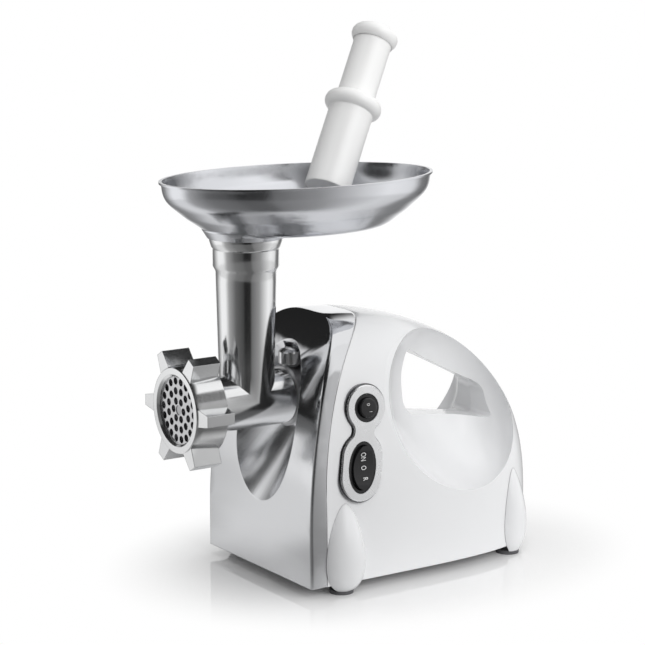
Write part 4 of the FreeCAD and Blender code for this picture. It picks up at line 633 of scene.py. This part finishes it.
def lamp(name, place, size, energy):
    """A rectangular lamp that looks at the middle of the object."""
    data = bpy.data.lights.new(name, "AREA")
    data.shape = "RECTANGLE"
    data.size, data.size_y = size
    data.energy = energy
    thing = bpy.data.objects.new(name, data)
    thing.location = place
    thing.rotation_mode = "QUATERNION"
    thing.rotation_quaternion = (Vector(place) - LAMP_AIM).to_track_quat("Z", "Y")
    bpy.context.scene.collection.objects.link(thing)


lamp("key", (1.7, 0.25, 1.0), (1.3, 1.3), 21)
lamp("fill", (-1.3, -1.1, 0.9), (0.9, 1.4), 2.5)
lamp("top", (0.0, 0.3, 1.8), (1.4, 1.4), 10)


def stage_piece(name, mesh, material, **sight):
    """A piece of the studio, with the kinds of ray that see it or don't."""
    piece = bpy.data.objects.new(name, as_data(mesh, name))
    bpy.context.scene.collection.objects.link(piece)
    piece.data.materials.append(material)
    for ray, seen in sight.items():
        setattr(piece, f"visible_{ray}", seen)


def stage_material(name, build):
    made = bpy.data.materials.new(name)
    made.use_nodes = True
    graph = Graph(made.node_tree)
    graph.node("ShaderNodeOutputMaterial", {}, {"Surface": build(graph)})
    return made


def glow(graph, strength):
    return graph.node("ShaderNodeEmission", {}, {"Color": grey(1.0), "Strength": strength})


MIDDLE = Vector((0, 0.03, 0))
WALL_RADIUS = 0.75
WALL_HEIGHT = 0.95
# Degrees round from the camera, and the brightness there.
BEARINGS = [(-180, 1.0), (-165, 0.9), (-148, 0.12), (-128, 0.3), (-102, 1.0), (-80, 1.0), (-66, 0.4),
            (-40, 0.13), (-14, 0.06), (-9, 0.015), (11, 0.015), (15, 0.14), (45, 0.3), (72, 0.72),
            (92, 1.0), (118, 0.85), (130, 0.22), (150, 0.14), (166, 0.9), (180, 1.0)]


def panels(graph, across, along):
    """Brightness of the studio by bearing: soft panels at the sides and behind, dark at the camera."""
    ahead = across * math.sin(AZIMUTH) - along * math.cos(AZIMUTH)
    aside = across * math.cos(AZIMUTH) + along * math.sin(AZIMUTH)
    turn = graph.node("ShaderNodeMath", {"operation": "ARCTAN2"}, {0: aside, 1: ahead}) / (2 * math.pi) + 0.5
    stops = [((bearing + 180) / 360, grey(level)) for bearing, level in BEARINGS]
    return graph.node("ShaderNodeValToRGB", {"stops": stops}, {"Fac": turn})


FLOOR_GLOSSY, FLOOR_PLAIN = 0.12, 0.25  # metres from the middle between which the gloss turns plain white
FLOOR_NARROW = 1.25                     # the glossy patch is narrower across than along by this
FAR_PANELS, FAR_LEAST = 0.75, 0.12      # the panels' share of the far floor's light, and its least


def floor_shader(graph):
    """A glossy pale floor round the object that runs out into plain white."""
    gloss = {"Base Color": grey(0.93), "Roughness": 0.04, "IOR": 1.7}
    paint = graph.node("ShaderNodeBsdfPrincipled", {}, gloss)
    across, along, _ = graph.parts(graph.place())
    side, back = (across - MIDDLE.x) * FLOOR_NARROW, along - MIDDLE.y
    away = (side * side + back * back) ** 0.5
    plain = graph.ease(away, FLOOR_GLOSSY, FLOOR_PLAIN)
    camera_ray = graph.node("ShaderNodeLightPath", output="Is Camera Ray")
    far = panels(graph, across, along) * FAR_PANELS + FAR_LEAST
    return graph.node("ShaderNodeMixShader", {},
                      {0: plain, 1: paint, 2: glow(graph, camera_ray + (1 - camera_ray) * far)})


floor_mesh = bmesh.new()
bmesh.ops.create_grid(floor_mesh, x_segments=1, y_segments=1, size=3.0)
stage_piece("floor", floor_mesh, stage_material("floor_paint", floor_shader))


SOFT_SIDE = AZIMUTH + math.radians(112)
ONLY_REFLECTED = {"camera": False, "diffuse": False, "shadow": False, "transmission": False}
PANEL_FULL, PANEL_TOP = 0.46, 0.5       # heights on the wall between which the panels end
WALL_PANELS, WALL_LEAST = 1.1, 0.02     # brightness of the panels, and of the dark part above them
CEILING_PANEL, CEILING_LEAST = 1.05, 0.04


def soft_side(graph, across, along, start, full):
    """Rises from 0 to 1 towards the camera's right and behind, where the large soft panel hangs."""
    towards = across * math.sin(SOFT_SIDE) - along * math.cos(SOFT_SIDE)
    return graph.ease(towards, start, full)


def wall_shader(graph):
    """The panels end in a dark upper part, save where the large soft panel reaches down to them."""
    across, along, up = graph.parts(graph.place())
    top = graph.ease(up, PANEL_FULL, PANEL_TOP)
    lower = panels(graph, across, along) * (1 - top) * WALL_PANELS
    return glow(graph, lower + top * (soft_side(graph, across, along, start=0.3, full=0.5) + WALL_LEAST))


wall_mesh = bmesh.new()
bmesh.ops.create_circle(wall_mesh, cap_ends=False, segments=96, radius=WALL_RADIUS)
grown = bmesh.ops.extrude_edge_only(wall_mesh, edges=wall_mesh.edges[:])["geom"]
bmesh.ops.translate(wall_mesh, verts=[item for item in grown if isinstance(item, bmesh.types.BMVert)],
                    vec=(0, 0, WALL_HEIGHT))
stage_piece("studio_wall", wall_mesh, stage_material("studio_panels", wall_shader), **ONLY_REFLECTED)


def ceiling_shader(graph):
    """The large soft panel over one side of a dark ceiling."""
    across, along, _ = graph.parts(graph.place())
    return glow(graph, soft_side(graph, across, along, start=-0.08, full=0.2) * CEILING_PANEL + CEILING_LEAST)


ceiling_mesh = bmesh.new()
bmesh.ops.create_circle(ceiling_mesh, cap_ends=True, segments=96, radius=WALL_RADIUS)
bmesh.ops.translate(ceiling_mesh, verts=ceiling_mesh.verts, vec=(0, 0, WALL_HEIGHT))
stage_piece("studio_ceiling", ceiling_mesh, stage_material("studio_ceiling", ceiling_shader),
            **ONLY_REFLECTED)


WORLD_LIGHT = 0.36


def make_world():
    """White wherever it is seen or mirrored, and dimmer as a light."""
    world = bpy.data.worlds.new("studio")
    world.use_nodes = True
    bpy.context.scene.world = world
    graph = Graph(world.node_tree)
    seen = graph.node("ShaderNodeLightPath", output="Is Camera Ray")
    rays = seen.socket.node.outputs
    shown = seen + Wire(graph, rays["Is Glossy Ray"]) + Wire(graph, rays["Is Transmission Ray"])
    dim = graph.node("ShaderNodeBackground", {}, {"Color": grey(1.0), "Strength": WORLD_LIGHT})
    plain = graph.node("ShaderNodeBackground", {}, {"Color": grey(1.0), "Strength": 1.0})
    both = graph.node("ShaderNodeMixShader", {}, {0: shown, 1: dim, 2: plain})
    graph.node("ShaderNodeOutputWorld", {}, {"Surface": both})


make_world()
bpy.context.scene.view_settings.view_transform = "Standard"
